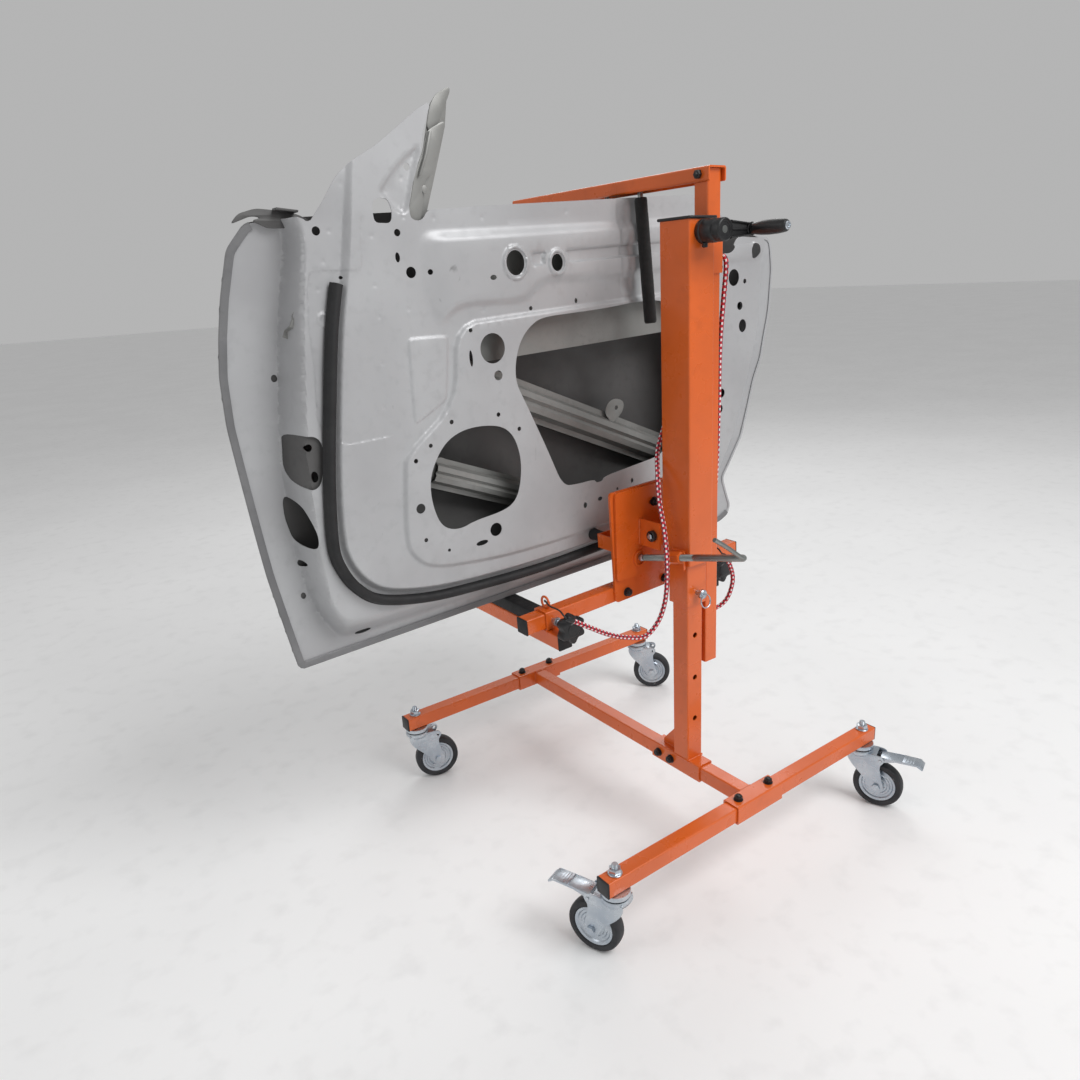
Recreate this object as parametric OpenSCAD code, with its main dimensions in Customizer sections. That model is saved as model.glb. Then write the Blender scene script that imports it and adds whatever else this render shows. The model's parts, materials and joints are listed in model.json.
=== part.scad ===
// Lift trolley for a bare car door, carrying its door.
// +X along the side beams, +Y from the operator towards the door, +Z up.
// The origin is the floor point under the middle of the base.

/* [Base] */
// Length of each side beam
beam_l = 740; // [640:10:900]
// Outside width of the square base tube
beam_w = 30; // [28:1:40]
// Wall of the base tube
base_wall = 2.5; // [1.5:0.5:3]
// Distance between the centre lines of the side beams
track = 700; // [600:10:900]
// Height of the beams' top faces over the floor
deck_z = 168; // [160:1:200]
// Wall of every sleeve that slips over a tube
sleeve_wall = 3; // [2:0.5:4]

/* [Casters] */
// Diameter of the caster wheels
wheel_d = 100; // [80:1:104]
// Width of the caster wheels
wheel_w = 26; // [20:1:30]
// Offset of the wheel axle from the swivel axis
trail = 40; // [30:1:48]

/* [Mast] */
// Distance of the mast behind the crossbeam's middle
mast_back = 180; // [160:5:220]
// Outside width of the lower mast tube
lower_w = 40; // [36:1:44]
// Height of the lower mast tube's top end
lower_top = 820; // [760:10:830]
// Outside width of the middle mast tube
middle_w = 50; // [48:1:52]
// Width of the outer mast tube
outer_w = 60; // [58:1:66]
// Depth of the outer mast tube
outer_d = 70; // [66:1:80]
// Height of the outer mast tube's lower end
outer_z0 = 592; // [580:1:600]
// Length of the outer mast tube
outer_l = 600; // [590:5:700]
// Pitch of the pin holes in the lower mast tube
hole_pitch = 90; // [80:5:100]
// Diameter of the ring pin
pin_d = 10; // [8:1:12]
// Throw of the lifting crank
crank_r = 72; // [60:1:110]

/* [Top arm] */
// Width of the square top post
post_w = 32; // [28:1:34]
// Height of the top post's upper end
post_top = 1272; // [1250:1:1400]
// Length of the top arm
arm_l = 571; // [520:1:680]
// Outside diameter of the foam on the clamp rods
foam_d = 24; // [20:1:26]

/* [Carriage] */
// Height of the tilt axis
tilt_z = 637; // [632:1:650]
// Width of the turn plate
plate_w = 210; // [190:5:240]
// Thickness of the tilt plate and the turn plate
plate_t = 5; // [4:0.5:6]
// Roll at which the turn plate stands, in degrees
roll = 2.1; // [0:0.1:4]
// Width of the square cross tube
cross_w = 30; // [28:1:32]
// Left end of the cross tube from the mast's middle
cross_left = 311; // [300:1:420]
// Right end of the cross tube from the mast's middle
cross_right = 245; // [240:1:420]
// Length of each support arm
support_l = 280; // [270:5:320]
// Diameter of the tilt screw
screw_d = 13; // [10:1:14]

/* [Door] */
// Thickness of the pressed sheet
sheet = 1.4; // [1:0.1:2]
// Depth from the inner face to the hem at the sill
door_depth = 58; // [50:1:70]
// Bulge of the outer skin
bulge = 38; // [20:1:50]
// Height of the door's sill while it is carried
sill_z = 531; // [530:1:560]
// Height of the belt line over the sill
belt_h = 715; // [690:5:720]

/* [Hidden] */
$fn = 48;

paint = "orangered";
plastic = [0.08, 0.08, 0.09];
zinc = "silver";
rubber = [0.12, 0.12, 0.12];
bare_sheet = [0.68, 0.68, 0.69];

// Gap between parts that slide on each other
slip = 0.4;
// Radial running clearance of pins and shafts
run = 0.05;
corner_r = 3;

beam_mid_z = deck_z - beam_w / 2;
beam_under_z = deck_z - beam_w;
sleeve_w = beam_w + 2 * (sleeve_wall + slip);
tee_half = 62;
tee_bolt_x = 42;

caster_x = beam_l / 2 - 25;
caster_y = track / 2;
// Swivel angle of each caster, from +X towards +Y
caster_turn = [111, -69, -15, -44];
stem_d = 12;
race_r = 26;
race_t = 10;
fork_top = beam_under_z - race_t - 0.5;
leg_t = 3;
leg_y = wheel_w / 2 + 4;
axle_d = 10;
hub_bore = axle_d + 2 * run;
pedal_x = 52;
pedal_z = fork_top - 14;
pedal_pin_d = 6;

mast_y = -mast_back;
foot_y0 = mast_y - 48;
foot_y1 = mast_y + 85;
foot_bolt_y = [mast_y + 30, mast_y + 65];
lower_wall = 2.5;
middle_wall = 4;
middle_z0 = 508;
middle_top = 1020;
outer_wall = 3;
outer_top = outer_z0 + outer_l;
outer_front = mast_y - outer_d / 2;
outer_back = mast_y + outer_d / 2;
pin_z = 532;
pin_holes = [for (k = [1:5]) pin_z - (4 - k) * hole_pitch];
jack_screw_d = 18;
jack_screw_low = middle_top - 400;
crank_z = outer_top - 20;
shaft_d = 12;
gear_r = 14;
crank_plane_y = outer_front - 35;
crank_arm_t = 16;
grip_l = 72;
grip_d = 24;
grip_pin_d = 8;

post_sleeve_w = post_w + 2 * (sleeve_wall + slip);
post_x = outer_w / 2 + post_sleeve_w / 2;
post_y = mast_y;
post_low = 372;
post_wall = 2.5;
sleeve_z0 = 1105;
// The sleeve ends under the rim of the mast cap
sleeve_z1 = outer_top - 0.4;
knob_z = sleeve_z0 + 9;
arm_w = post_w + 10;
arm_h = 24;
arm_wall = 3;
arm_y0 = post_y - 22;
arm_top = post_top + arm_wall + slip;
arm_under = arm_top - arm_h;
near_rod_y = -14;
near_lean = 5.6;
near_rod_l = 225;
outer_rod_y = 78;
outer_lean = 9;
outer_rod_l = 150;
rod_d = 10;
slider_w = arm_w - 2 * arm_wall - 2 * slip;
slider_h = 14;
slider_z0 = arm_under + 4;

tilt_y = outer_back + 14;
tilt_bolt_d = 10;
lug_half = 35;
flange_in = 36;
flange_t = 4;
tilt_face_y = -92;
turn_face_y = tilt_face_y + plate_t + slip;
turn_back_y = turn_face_y + plate_t;
tilt_plate_w = plate_w - 12;
tilt_plate_z0 = 548;
tilt_plate_z1 = 724;
turn_plate_z0 = 507;
turn_plate_z1 = 728;
turn_pin_d = 16;
turn_z = 640;
clamp_z = turn_z + 50;
slot_half = 9;
clamp_d = 8;
lower_bolt_x = [-75, 25];
screw_x = -(outer_w / 2 + 12);
screw_rise = 13.5;
screw_tip_z = 584;
screw_foot_r = 7;
// Distance of the ball foot from the tilt plate's seat
foot_gap = 1.2;
screw_l = 268;
block_y = mast_y - 10;
handle_up = 45;
handle_out = 60;

cross_y = turn_back_y + cross_w / 2;
cross_z = turn_plate_z0 + cross_w / 2;
arm_sleeve_w = cross_w + 2 * (sleeve_wall + slip);
arm_sleeve_l = 30;
left_x = -256;
right_x = 136;
support_y0 = cross_y - 48;
support_w = 30;
support_top = cross_z - arm_sleeve_w / 2;
pad_top = sill_z - 0.4;
knob_y = cross_y - arm_sleeve_w / 2;
stud_d = 8;
eye_r = 11;

// Door outlines, measured from the sill upwards, before the roll
hem_y = door_depth;
belt_z = sill_z + belt_h;
skin_r = (pow(belt_h / 2, 2) + bulge * bulge) / (2 * bulge);
skin_axis_y = hem_y + bulge - skin_r;
skin_axis_z = sill_z + belt_h / 2;
face_y = 0;
hem_points = [[-689, 0], [-704, 166], [-711, 336], [-715, 415], [-712, 491], [-703, 548],
    [-691, 604], [-672, 672], [-640, belt_h - 8], [-600, belt_h], [470, belt_h - 20],
    [528, belt_h - 62], [540, belt_h - 120], [536, 465], [520, 410], [498, 360], [472, 310],
    [456, 262], [428, 187], [388, 134], [362, 100], [372, 67], [385, 30], [371, 10], [340, 0]];
face_points = [[-596, 62], [-630, 85], [-646, 130], [-643, 320], [-625, 452], [-600, 600],
    [-577, belt_h - 36], [-560, belt_h - 2], [430, belt_h - 2], [446, belt_h - 103],
    [440, 474], [420, 390], [379, 280], [351, 211], [315, 159], [282, 100], [262, 62]];
access_points = [[-182, 521], [-234, 446], [-151, 210], [109, 217], [200, 300], [180, 500],
    [120, 524]];
sail_points = [[-577, belt_h - 40], [-518, belt_h + 33], [-489, belt_h + 60], [-443, belt_h + 93],
    [-396, belt_h + 127], [-347, belt_h + 146], [-368, belt_h - 40]];
speaker_points = [[-328, 360], [-400, 310], [-431, 268], [-425, 215], [-403, 187],
    [-330, 190], [-254, 211], [-241, 269], [-262, 330]];
// Round holes in the inner panel: x, height over the sill, diameter
face_holes = [[-552, 688, 14], [-381, 684, 14], [-218, 618, 26], [-129, 613, 18],
    [-345, 595, 9], [-304, 593, 9], [-246, 496, 20], [-405, 360, 10], [-425, 330, 12],
    [-452, 300, 9], [-420, 175, 22], [-372, 160, 10], [-300, 168, 20], [-245, 190, 9],
    [310, 560, 24], [318, 500, 12], [290, 440, 12], [300, 395, 22], [282, 300, 12],
    [262, 262, 20]];
seal_points = [[-539, 610], [-559, 547], [-580, 444], [-603, 322], [-614, 217], [-606, 170],
    [-580, 125], [-540, 96], [-457, 74], [-354, 64], [-217, 58], [-66, 60], [120, 64],
    [225, 70]];
seal_w = 19;
seal_t = 9;

// Middle line of the bungee cord, hook to hook
cord_d = 9;
cord_route = [[-281, -168, 551], [-264, -168, 539], [-235, -168, 520], [-190, -168, 492],
    [-148, -169, 473], [-106, -174, 464], [-82, -182, 486], [-72, -190, 520],
    [-68, -194, 560], [-67, -194, 610], [-63, -184, 663], [-61, -170, 715],
    [-50, -155, 760], [-25, -130, 800], [2, -123, 850], [16, -122, 920], [20, -122, 1000],
    [24, -124, 1070], [46, -134, 1118], [70, -149, 1134], [82, -172, 1136],
    [82, -192, 1128], [77, -198, 1104], [74, -196, 1060], [73, -190, 980],
    [73, -188, 880], [74, -184, 780], [76, -176, 680], [78, -166, 590], [79, -156, 520],
    [84, -148, 474], [100, -146, 452], [122, -152, 454], [136, -162, 474], [142, -168, 510],
    [132, -169, 544], [113, -168, 569]];
// Near sides of the arms' eyes, where the cord's wire hooks end
hook_ends = [[-257, -82, 557], [137, -82, 572]];
cord_sides = 8;

function along(points, t) =
    let(n = len(points) - 1, k = min(floor(t), n - 1), u = t - k,
        a = points[max(k - 1, 0)], b = points[k], c = points[k + 1],
        d = points[min(k + 2, n)])
    0.5 * (2 * b + (c - a) * u + (2 * a - 5 * b + 4 * c - d) * u * u
        + (3 * b - a - 3 * c + d) * u * u * u);
function unit(v) = v / norm(v);
function side_of(t) = unit(cross(t, abs(t[1]) < 0.9 ? [0, 1, 0] : [1, 0, 0]));

// ---- helpers ----

module rounded(w, h, r) {
    square([w - 2 * r, h], center = true);
    square([w, h - 2 * r], center = true);
    for (i = [-1, 1], j = [-1, 1]) translate([i * (w / 2 - r), j * (h / 2 - r)]) circle(r);
}

module tube(w, h, wall, l) {
    linear_extrude(l) difference() {
        rounded(w, h, corner_r);
        rounded(w - 2 * wall, h - 2 * wall, max(corner_r - wall, 0.5));
    }
}

// Turns a shape built along Z to lie along X
module to_x() rotate([90, 0, 90]) children();

// Turns a shape built along Z to lie along Y
module to_y() rotate([-90, 0, 0]) children();

module rod(d, l) cylinder(d = d, h = l);

module bore(d, l) translate([0, 0, -l / 2]) cylinder(d = d, h = l);

// Bolt along Z with a black capped head below z = 0 and a nut past the grip length
module capped_bolt(d, grip) {
    translate([0, 0, -0.8 * d]) rod(1.9 * d, 0.8 * d);
    translate([0, 0, -1.1 * d]) rod(1.5 * d, 0.3 * d);
    rod(d, grip + 1.2 * d);
    translate([0, 0, grip]) cylinder(d = 1.9 * d, h = 0.8 * d, $fn = 6);
}

module star_knob(d, t, hub_l) {
    difference() {
        rod(0.86 * d, t);
        for (a = [0:60:300]) rotate(a) translate([0.5 * d, 0, -1]) rod(0.24 * d, t + 2);
    }
    translate([0, 0, -hub_l]) rod(0.42 * d, hub_l);
}

// The roll at which the turn plate and the door stand
module rolled()
    translate([0, 0, turn_z]) rotate([0, -roll, 0]) translate([0, 0, -turn_z]) children();

module at_caster(k) {
    sx = k % 2 == 0 ? -1 : 1;
    sy = k < 2 ? -1 : 1;
    translate([sx * caster_x, sy * caster_y, 0]) rotate(caster_turn[k]) children();
}

// ---- base ----

module side_beams() {
    color(paint) for (s = [-1, 1]) difference() {
        translate([-beam_l / 2, s * caster_y, beam_mid_z])
            to_x() tube(beam_w, beam_w, base_wall, beam_l);
        for (x = [-caster_x, caster_x]) translate([x, s * caster_y, beam_mid_z])
            bore(stem_d, 2 * beam_w);
        for (x = [-tee_bolt_x, tee_bolt_x]) translate([x, s * caster_y, beam_mid_z])
            bore(8.4, 2 * beam_w);
    }
}

module crossbeam() {
    span = track - sleeve_w;
    color(paint) difference() {
        union() {
            translate([0, -span / 2, beam_mid_z])
                to_y() tube(beam_w, beam_w, base_wall, span);
            for (s = [-1, 1]) translate([-tee_half, s * caster_y, beam_mid_z])
                to_x() tube(sleeve_w, sleeve_w, sleeve_wall, 2 * tee_half);
        }
        for (s = [-1, 1], x = [-tee_bolt_x, tee_bolt_x])
            translate([x, s * caster_y, beam_mid_z]) bore(8.4, 2 * sleeve_w);
        for (y = foot_bolt_y) translate([0, y, beam_mid_z])
            rotate([0, 90, 0]) bore(8.4, 2 * beam_w);
    }
}

module beam_end_caps() {
    plug_w = beam_w - 2 * base_wall - 0.4;
    color(plastic) for (s = [-1, 1], e = [-1, 1])
        translate([e * beam_l / 2, s * caster_y, beam_mid_z]) rotate([0, e * 90, 0]) {
            linear_extrude(3) rounded(beam_w, beam_w, corner_r);
            translate([0, 0, -10]) linear_extrude(10) rounded(plug_w, plug_w, 1);
        }
}

module base_bolts() {
    color(plastic) {
        for (s = [-1, 1], x = [-tee_bolt_x, tee_bolt_x])
            translate([x, s * caster_y, beam_mid_z + sleeve_w / 2])
                rotate([180, 0, 0]) capped_bolt(8, sleeve_w);
        for (y = foot_bolt_y) translate([-sleeve_w / 2, y, beam_mid_z])
            rotate([0, 90, 0]) capped_bolt(8, sleeve_w);
    }
}

module lower_mast() {
    mast_z0 = beam_mid_z + sleeve_w / 2;
    color(paint) difference() {
        union() {
            translate([0, foot_y0, beam_mid_z])
                to_y() tube(sleeve_w, sleeve_w, sleeve_wall, foot_y1 - foot_y0);
            translate([0, mast_y, mast_z0])
                tube(lower_w, lower_w, lower_wall, lower_top - mast_z0);
            translate([-2, mast_y + lower_w / 2, mast_z0]) rotate([90, 0, 90])
                linear_extrude(4) polygon([[0, 0], [46, 0], [46, 8], [8, 52], [0, 52]]);
        }
        for (z = pin_holes) translate([0, mast_y, z])
            rotate([90, 0, 0]) bore(pin_d + 1, lower_w + 4);
        for (y = foot_bolt_y) translate([0, y, beam_mid_z])
            rotate([0, 90, 0]) bore(8.4, 2 * sleeve_w);
    }
}

// ---- casters ----

module caster_stems() {
    color(zinc) for (k = [0:3]) at_caster(k) {
        translate([0, 0, beam_under_z - race_t]) rotate_extrude()
            polygon([[0, 0], [race_r - 4, 0], [race_r, 4], [race_r, race_t], [0, race_t]]);
        translate([0, 0, beam_under_z - 0.5]) rod(stem_d - 0.2, beam_w + 18);
        translate([0, 0, deck_z]) rod(2 * stem_d, 2.5);
        translate([0, 0, deck_z + 2.5]) cylinder(d = 1.8 * stem_d, h = 9, $fn = 6);
        translate([0, 0, fork_top - 16]) rod(stem_d - 0.2, 17);
    }
}

module fork(k) {
    axle_z = wheel_d / 2;
    color(zinc) at_caster(k) {
        difference() {
            union() {
                translate([0, 0, fork_top - 12]) rod(2 * race_r, 12);
                translate([-22, -leg_y - leg_t, fork_top - 15])
                    cube([54, 2 * (leg_y + leg_t), 4]);
                for (s = [-1, 1]) translate([0, s * (leg_y + leg_t / 2) + leg_t / 2, 0])
                    rotate([90, 0, 0]) linear_extrude(leg_t) {
                        polygon([[-22, fork_top - 11], [32, fork_top - 11],
                            [trail + 14, axle_z], [trail - 14, axle_z],
                            [-22, fork_top - 26]]);
                        translate([trail, axle_z]) circle(14);
                        translate([pedal_x - 8, pedal_z]) circle(8);
                        polygon([[20, fork_top - 15], [36, fork_top - 15],
                            [pedal_x - 8, pedal_z + 8], [pedal_x - 8, pedal_z - 8],
                            [20, pedal_z - 20]]);
                    }
            }
            translate([0, 0, fork_top]) bore(stem_d + 2 * run - 0.2, 60);
            translate([trail, 0, axle_z]) rotate([90, 0, 0]) bore(axle_d, 80);
            translate([pedal_x - 8, 0, pedal_z])
                rotate([90, 0, 0]) bore(pedal_pin_d + 2 * run, 80);
        }
        translate([trail, 0, axle_z]) rotate([90, 0, 0]) {
            bore(axle_d, 2 * (leg_y + leg_t));
            for (s = [-1, 1]) translate([0, 0, s * (leg_y + leg_t + 3)])
                cylinder(d = 18, h = 6, center = true, $fn = 6);
        }
    }
}

module caster_fork_1() fork(0);
module caster_fork_2() fork(1);
module caster_fork_3() fork(2);
module caster_fork_4() fork(3);

module wheel(k) {
    rim_r = wheel_d / 2 - 13;
    color(rubber) at_caster(k) translate([trail, 0, wheel_d / 2]) rotate([90, 0, 0]) {
        rotate_extrude($fn = 96) translate([0, -wheel_w / 2]) polygon([
            [rim_r, 1], [wheel_d / 2 - 4, 0], [wheel_d / 2 - 1, 3],
            [wheel_d / 2, wheel_w / 2], [wheel_d / 2 - 1, wheel_w - 3],
            [wheel_d / 2 - 4, wheel_w], [rim_r, wheel_w - 1]]);
        rotate_extrude($fn = 96) polygon([
            [hub_bore / 2, -wheel_w / 2 - 3], [14, -wheel_w / 2 - 3], [15, -6],
            [rim_r - 4, -5], [rim_r, -wheel_w / 2 + 2], [rim_r, wheel_w / 2 - 2],
            [rim_r - 4, 5], [15, 6], [14, wheel_w / 2 + 3],
            [hub_bore / 2, wheel_w / 2 + 3]]);
    }
}

module caster_wheel_1() wheel(0);
module caster_wheel_2() wheel(1);
module caster_wheel_3() wheel(2);
module caster_wheel_4() wheel(3);

module pedal(k) {
    pivot_x = pedal_x - 8;
    half = leg_y - 1;
    color(zinc) at_caster(k) {
        translate([pivot_x, 0, pedal_z]) rotate([90, 0, 0])
            bore(pedal_pin_d, 2 * (leg_y + leg_t + 1));
        translate([0, half, 0]) rotate([90, 0, 0]) linear_extrude(2 * half) polygon([
            [pivot_x, pedal_z - 2], [pivot_x + 34, pedal_z + 2], [pivot_x + 72, pedal_z + 4],
            [pivot_x + 82, pedal_z - 2], [pivot_x + 82, pedal_z + 1],
            [pivot_x + 73, pedal_z + 7], [pivot_x + 33, pedal_z + 5],
            [pivot_x, pedal_z + 4]]);
    }
}

module brake_pedal_1() pedal(0);
module brake_pedal_2() pedal(1);

// ---- mast ----

module middle_mast() {
    color(paint) difference() {
        translate([0, mast_y, middle_z0])
            tube(middle_w, middle_w, middle_wall, middle_top - middle_z0);
        translate([0, mast_y, pin_z]) rotate([90, 0, 0]) bore(pin_d + 2 * run, 2 * middle_w);
    }
}

module jack_nut() {
    nut_w = middle_w - 2 * middle_wall;
    color("goldenrod") translate([0, mast_y, middle_top - 24]) difference() {
        linear_extrude(24) rounded(nut_w, nut_w, 0.5);
        bore(jack_screw_d + 2 * run, 80);
    }
}

module ring_pin() {
    color(zinc) translate([0, mast_y - middle_w / 2, pin_z]) {
        translate([0, -12, 0]) to_y() rod(pin_d, middle_w + 24);
        translate([0, -20, 0]) to_y() rod(pin_d + 8, 8);
        translate([0, -20, -12]) rotate([0, 8, 0]) rotate([90, 0, 0])
            rotate_extrude() translate([12, 0]) circle(1.2, $fn = 16);
    }
}

module outer_mast() {
    color(paint) difference() {
        union() {
            translate([0, mast_y, outer_z0]) tube(outer_w, outer_d, outer_wall, outer_l);
            translate([-lug_half, outer_back - 1, tilt_z - 16]) cube([2 * lug_half, 15, 32]);
            translate([-lug_half, tilt_y, tilt_z]) rotate([0, 90, 0]) rod(24, 2 * lug_half);
        }
        translate([0, mast_y, crank_z]) rotate([90, 0, 0]) translate([0, 0, 20])
            rod(shaft_d + 1, outer_d);
        translate([-lug_half - 1, tilt_y, tilt_z])
            rotate([0, 90, 0]) rod(tilt_bolt_d, 2 * lug_half + 2);
    }
}

module mast_cap() {
    color(plastic) translate([0, mast_y, outer_top]) {
        linear_extrude(5) rounded(outer_w + 6, outer_d + 6, 4);
        translate([0, 0, -6]) linear_extrude(6)
            rounded(outer_w - 2 * outer_wall - 0.4, outer_d - 2 * outer_wall - 0.4, 1);
    }
}

module guide_liners() {
    color("white") for (z = [outer_z0 + 4, outer_z0 + 46]) translate([0, mast_y, z])
        linear_extrude(24) difference() {
            rounded(outer_w - 2 * outer_wall, outer_d - 2 * outer_wall, 0.5);
            rounded(middle_w + 2 * slip, middle_w + 2 * slip, 3.5);
        }
}

module jack_screw() {
    color("dimgray") translate([0, mast_y, 0]) {
        translate([0, 0, jack_screw_low]) rod(jack_screw_d, crank_z - 18 - jack_screw_low);
        translate([0, 0, crank_z - 30]) difference() {
            cylinder(r1 = gear_r + 6, r2 = gear_r - 4, h = 12);
            for (a = [0:30:330]) rotate(a) translate([gear_r + 3, 0, -1]) rod(3, 14);
        }
    }
}

module crank_shaft() {
    color("dimgray") translate([0, mast_y, crank_z]) rotate([90, 0, 0]) {
        translate([0, 0, 26]) rod(shaft_d, -crank_plane_y + mast_y - 26 + crank_arm_t - 2);
        translate([0, 0, 16]) difference() {
            cylinder(r1 = 6, r2 = gear_r, h = 12);
            for (a = [15:30:345]) rotate(a) translate([gear_r + 1, 0, 2]) rod(3, 12);
        }
    }
}

module crank_housing() {
    color(plastic) translate([0, outer_front, crank_z]) rotate([90, 0, 0]) difference() {
        union() {
            rod(39, 8);
            rod(38, -crank_plane_y + outer_front - slip);
        }
        translate([0, 0, -1]) rod(shaft_d + 2 * run, 60);
    }
}

module crank_arm() {
    color(plastic) translate([0, crank_plane_y, crank_z]) rotate([90, 0, 0]) difference() {
        union() {
            rod(42, crank_arm_t);
            linear_extrude(crank_arm_t - 3) polygon([[0, -19], [crank_r - 4, -11],
                [crank_r - 4, 11], [0, 19]]);
            translate([crank_r - 4, 0, 0]) rod(22, crank_arm_t - 3);
        }
        translate([0, 0, -1]) rod(shaft_d, crank_arm_t - 1);
    }
}

module crank_grip() {
    color(plastic) translate([crank_r - 4, crank_plane_y - crank_arm_t + 3 - slip, crank_z])
        rotate([90, 0, 0]) rotate_extrude() polygon([[0, 0], [grip_d / 2 - 3, 0],
            [grip_d / 2, 14], [grip_d / 2 - 1, grip_l - 12], [grip_d / 2 - 4, grip_l - 3],
            [6, grip_l], [0, grip_l]]);
}

// ---- top post and arm ----

module post_sleeve() {
    color(paint) translate([post_x, post_y, sleeve_z0]) difference() {
        linear_extrude(sleeve_z1 - sleeve_z0) difference() {
            rounded(post_sleeve_w, post_sleeve_w, corner_r);
            rounded(post_w + 2 * slip, post_w + 2 * slip, 1);
        }
        translate([0, 0, knob_z - sleeve_z0]) rotate([0, 90, 0])
            rod(stud_d + 2 * run, post_sleeve_w);
    }
}

module top_post() {
    color(paint) difference() {
        translate([post_x, post_y, post_low])
            tube(post_w, post_w, post_wall, post_top - post_low);
        translate([post_x, post_y, arm_under + 12]) rotate([0, 90, 0]) bore(8, 2 * post_w);
    }
}

module post_knob() {
    color(plastic) translate([post_x + post_w / 2 + slip, post_y, knob_z])
        rotate([0, 90, 0]) {
            rod(stud_d, 22);
            translate([0, 0, 20]) star_knob(38, 16, 8);
        }
}

module top_arm() {
    color(paint) difference() {
        translate([post_x, arm_y0, arm_top - arm_h / 2]) to_y()
            linear_extrude(arm_l) rotate(180) difference() {
                rounded(arm_w, arm_h, 4);
                translate([0, -arm_wall]) rounded(arm_w - 2 * arm_wall, arm_h, 2);
                translate([-arm_w / 2 + arm_wall, -arm_h])
                    square([arm_w - 2 * arm_wall, arm_h]);
            }
        translate([post_x, post_y, arm_under + 12]) rotate([0, 90, 0]) bore(8, 2 * arm_w);
    }
}

module arm_bolt() {
    color(plastic) translate([post_x + arm_w / 2, post_y, arm_under + 12])
        rotate([0, -90, 0]) capped_bolt(8, arm_w);
}

// Block that slides in the arm's channel, with the rod that hangs from it
module clamp_rod(y, lean, l) {
    color("dimgray") translate([post_x, y, slider_z0]) {
        translate([-slider_w / 2, -14, 0]) cube([slider_w, 28, slider_h]);
        rotate([-lean, 0, 0]) translate([0, 0, -l - 6]) rod(rod_d, l + 10);
    }
}

module rod_foam(y, lean, l) {
    color(rubber) translate([post_x, y, slider_z0]) rotate([-lean, 0, 0])
        translate([0, 0, -l - 12]) rotate_extrude() polygon([[0, 0], [foam_d / 2 - 3, 0],
            [foam_d / 2, 3], [foam_d / 2, l], [rod_d / 2, l], [rod_d / 2, 6], [0, 6]]);
}

module near_rod() clamp_rod(near_rod_y, near_lean, near_rod_l);
module near_rod_foam() rod_foam(near_rod_y, near_lean, near_rod_l);
module outer_rod() clamp_rod(outer_rod_y, -outer_lean, outer_rod_l);
module outer_rod_foam() rod_foam(outer_rod_y, -outer_lean, outer_rod_l);

// ---- carriage ----

module tilt_plate() {
    flange_far = tilt_y - 16;
    color(paint) difference() {
        union() {
            translate([0, tilt_face_y + plate_t, (tilt_plate_z0 + tilt_plate_z1) / 2])
                rotate([90, 0, 0]) linear_extrude(plate_t)
                    rounded(tilt_plate_w, tilt_plate_z1 - tilt_plate_z0, 8);
            for (s = [-1, 1]) translate([s * (flange_in + flange_t / 2) - flange_t / 2,
                flange_far, tilt_z - 26])
                    cube([flange_t, tilt_face_y + 1 - flange_far, 52]);
            translate([screw_x, tilt_face_y, screw_tip_z]) rotate([90, 0, 0])
                difference() {
                    rod(32, 4);
                    translate([0, 0, 0.5]) rod(26, 4);
                }
            translate([0, turn_back_y + 6, turn_z]) rotate([90, 0, 0])
                rod(turn_pin_d, turn_back_y + 6 - tilt_face_y - 1);
        }
        translate([-60, tilt_y, tilt_z]) rotate([0, 90, 0]) rod(tilt_bolt_d + 2 * run, 120);
        translate([-slot_half, tilt_face_y - 1, clamp_z - clamp_d / 2 - slip])
            cube([2 * slot_half, plate_t + 2, clamp_d + 2 * slip]);
        for (s = [-1, 1]) translate([s * slot_half, tilt_face_y - 1, clamp_z])
            to_y() rod(clamp_d + 2 * slip, plate_t + 2);
    }
}

module tilt_bolt() {
    half = flange_in + flange_t + 2;
    color(zinc) translate([0, tilt_y, tilt_z]) rotate([0, 90, 0]) {
        bore(tilt_bolt_d, 2 * half + 18);
        for (s = [-1, 1]) translate([0, 0, s * (half + 4)])
            cylinder(d = 18, h = 8, center = true, $fn = 6);
    }
}

// Places a shape built along Z on the line of the tilt screw, Z towards the operator
module on_screw()
    translate([screw_x, tilt_face_y, screw_tip_z]) rotate([90 - screw_rise, 0, 0]) children();

module screw_block() {
    block_l = 34;
    block_at = (tilt_face_y - block_y) / cos(screw_rise) - block_l / 2;
    block_z = screw_tip_z + (tilt_face_y - block_y) * tan(screw_rise);
    color(paint) difference() {
        union() {
            on_screw() translate([0, 0, block_at])
                rotate(30) cylinder(d = screw_d + 11, h = block_l, $fn = 6);
            translate([-outer_w / 2 - 6, block_y - 15, block_z - 22]) cube([6, 30, 36]);
        }
        on_screw() rod(screw_d + 2 * run, screw_l);
    }
}

module tilt_screw() {
    end = screw_l;
    color("dimgray") on_screw() {
        translate([0, 0, 2 * screw_foot_r + foot_gap + 0.3])
            rod(screw_d, end - 2 * screw_foot_r - foot_gap - 0.3);
        translate([0, 0, end]) sphere(d = screw_d);
        translate([0, 0, end]) rotate([0, -atan2(handle_out, handle_up), 0])
            rod(8, norm([handle_out, handle_up]));
    }
}

module screw_foot() {
    color(zinc) on_screw() translate([0, 0, screw_foot_r + foot_gap]) {
        sphere(r = screw_foot_r);
        rod(2 * screw_foot_r - 2, screw_foot_r);
    }
}

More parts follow.
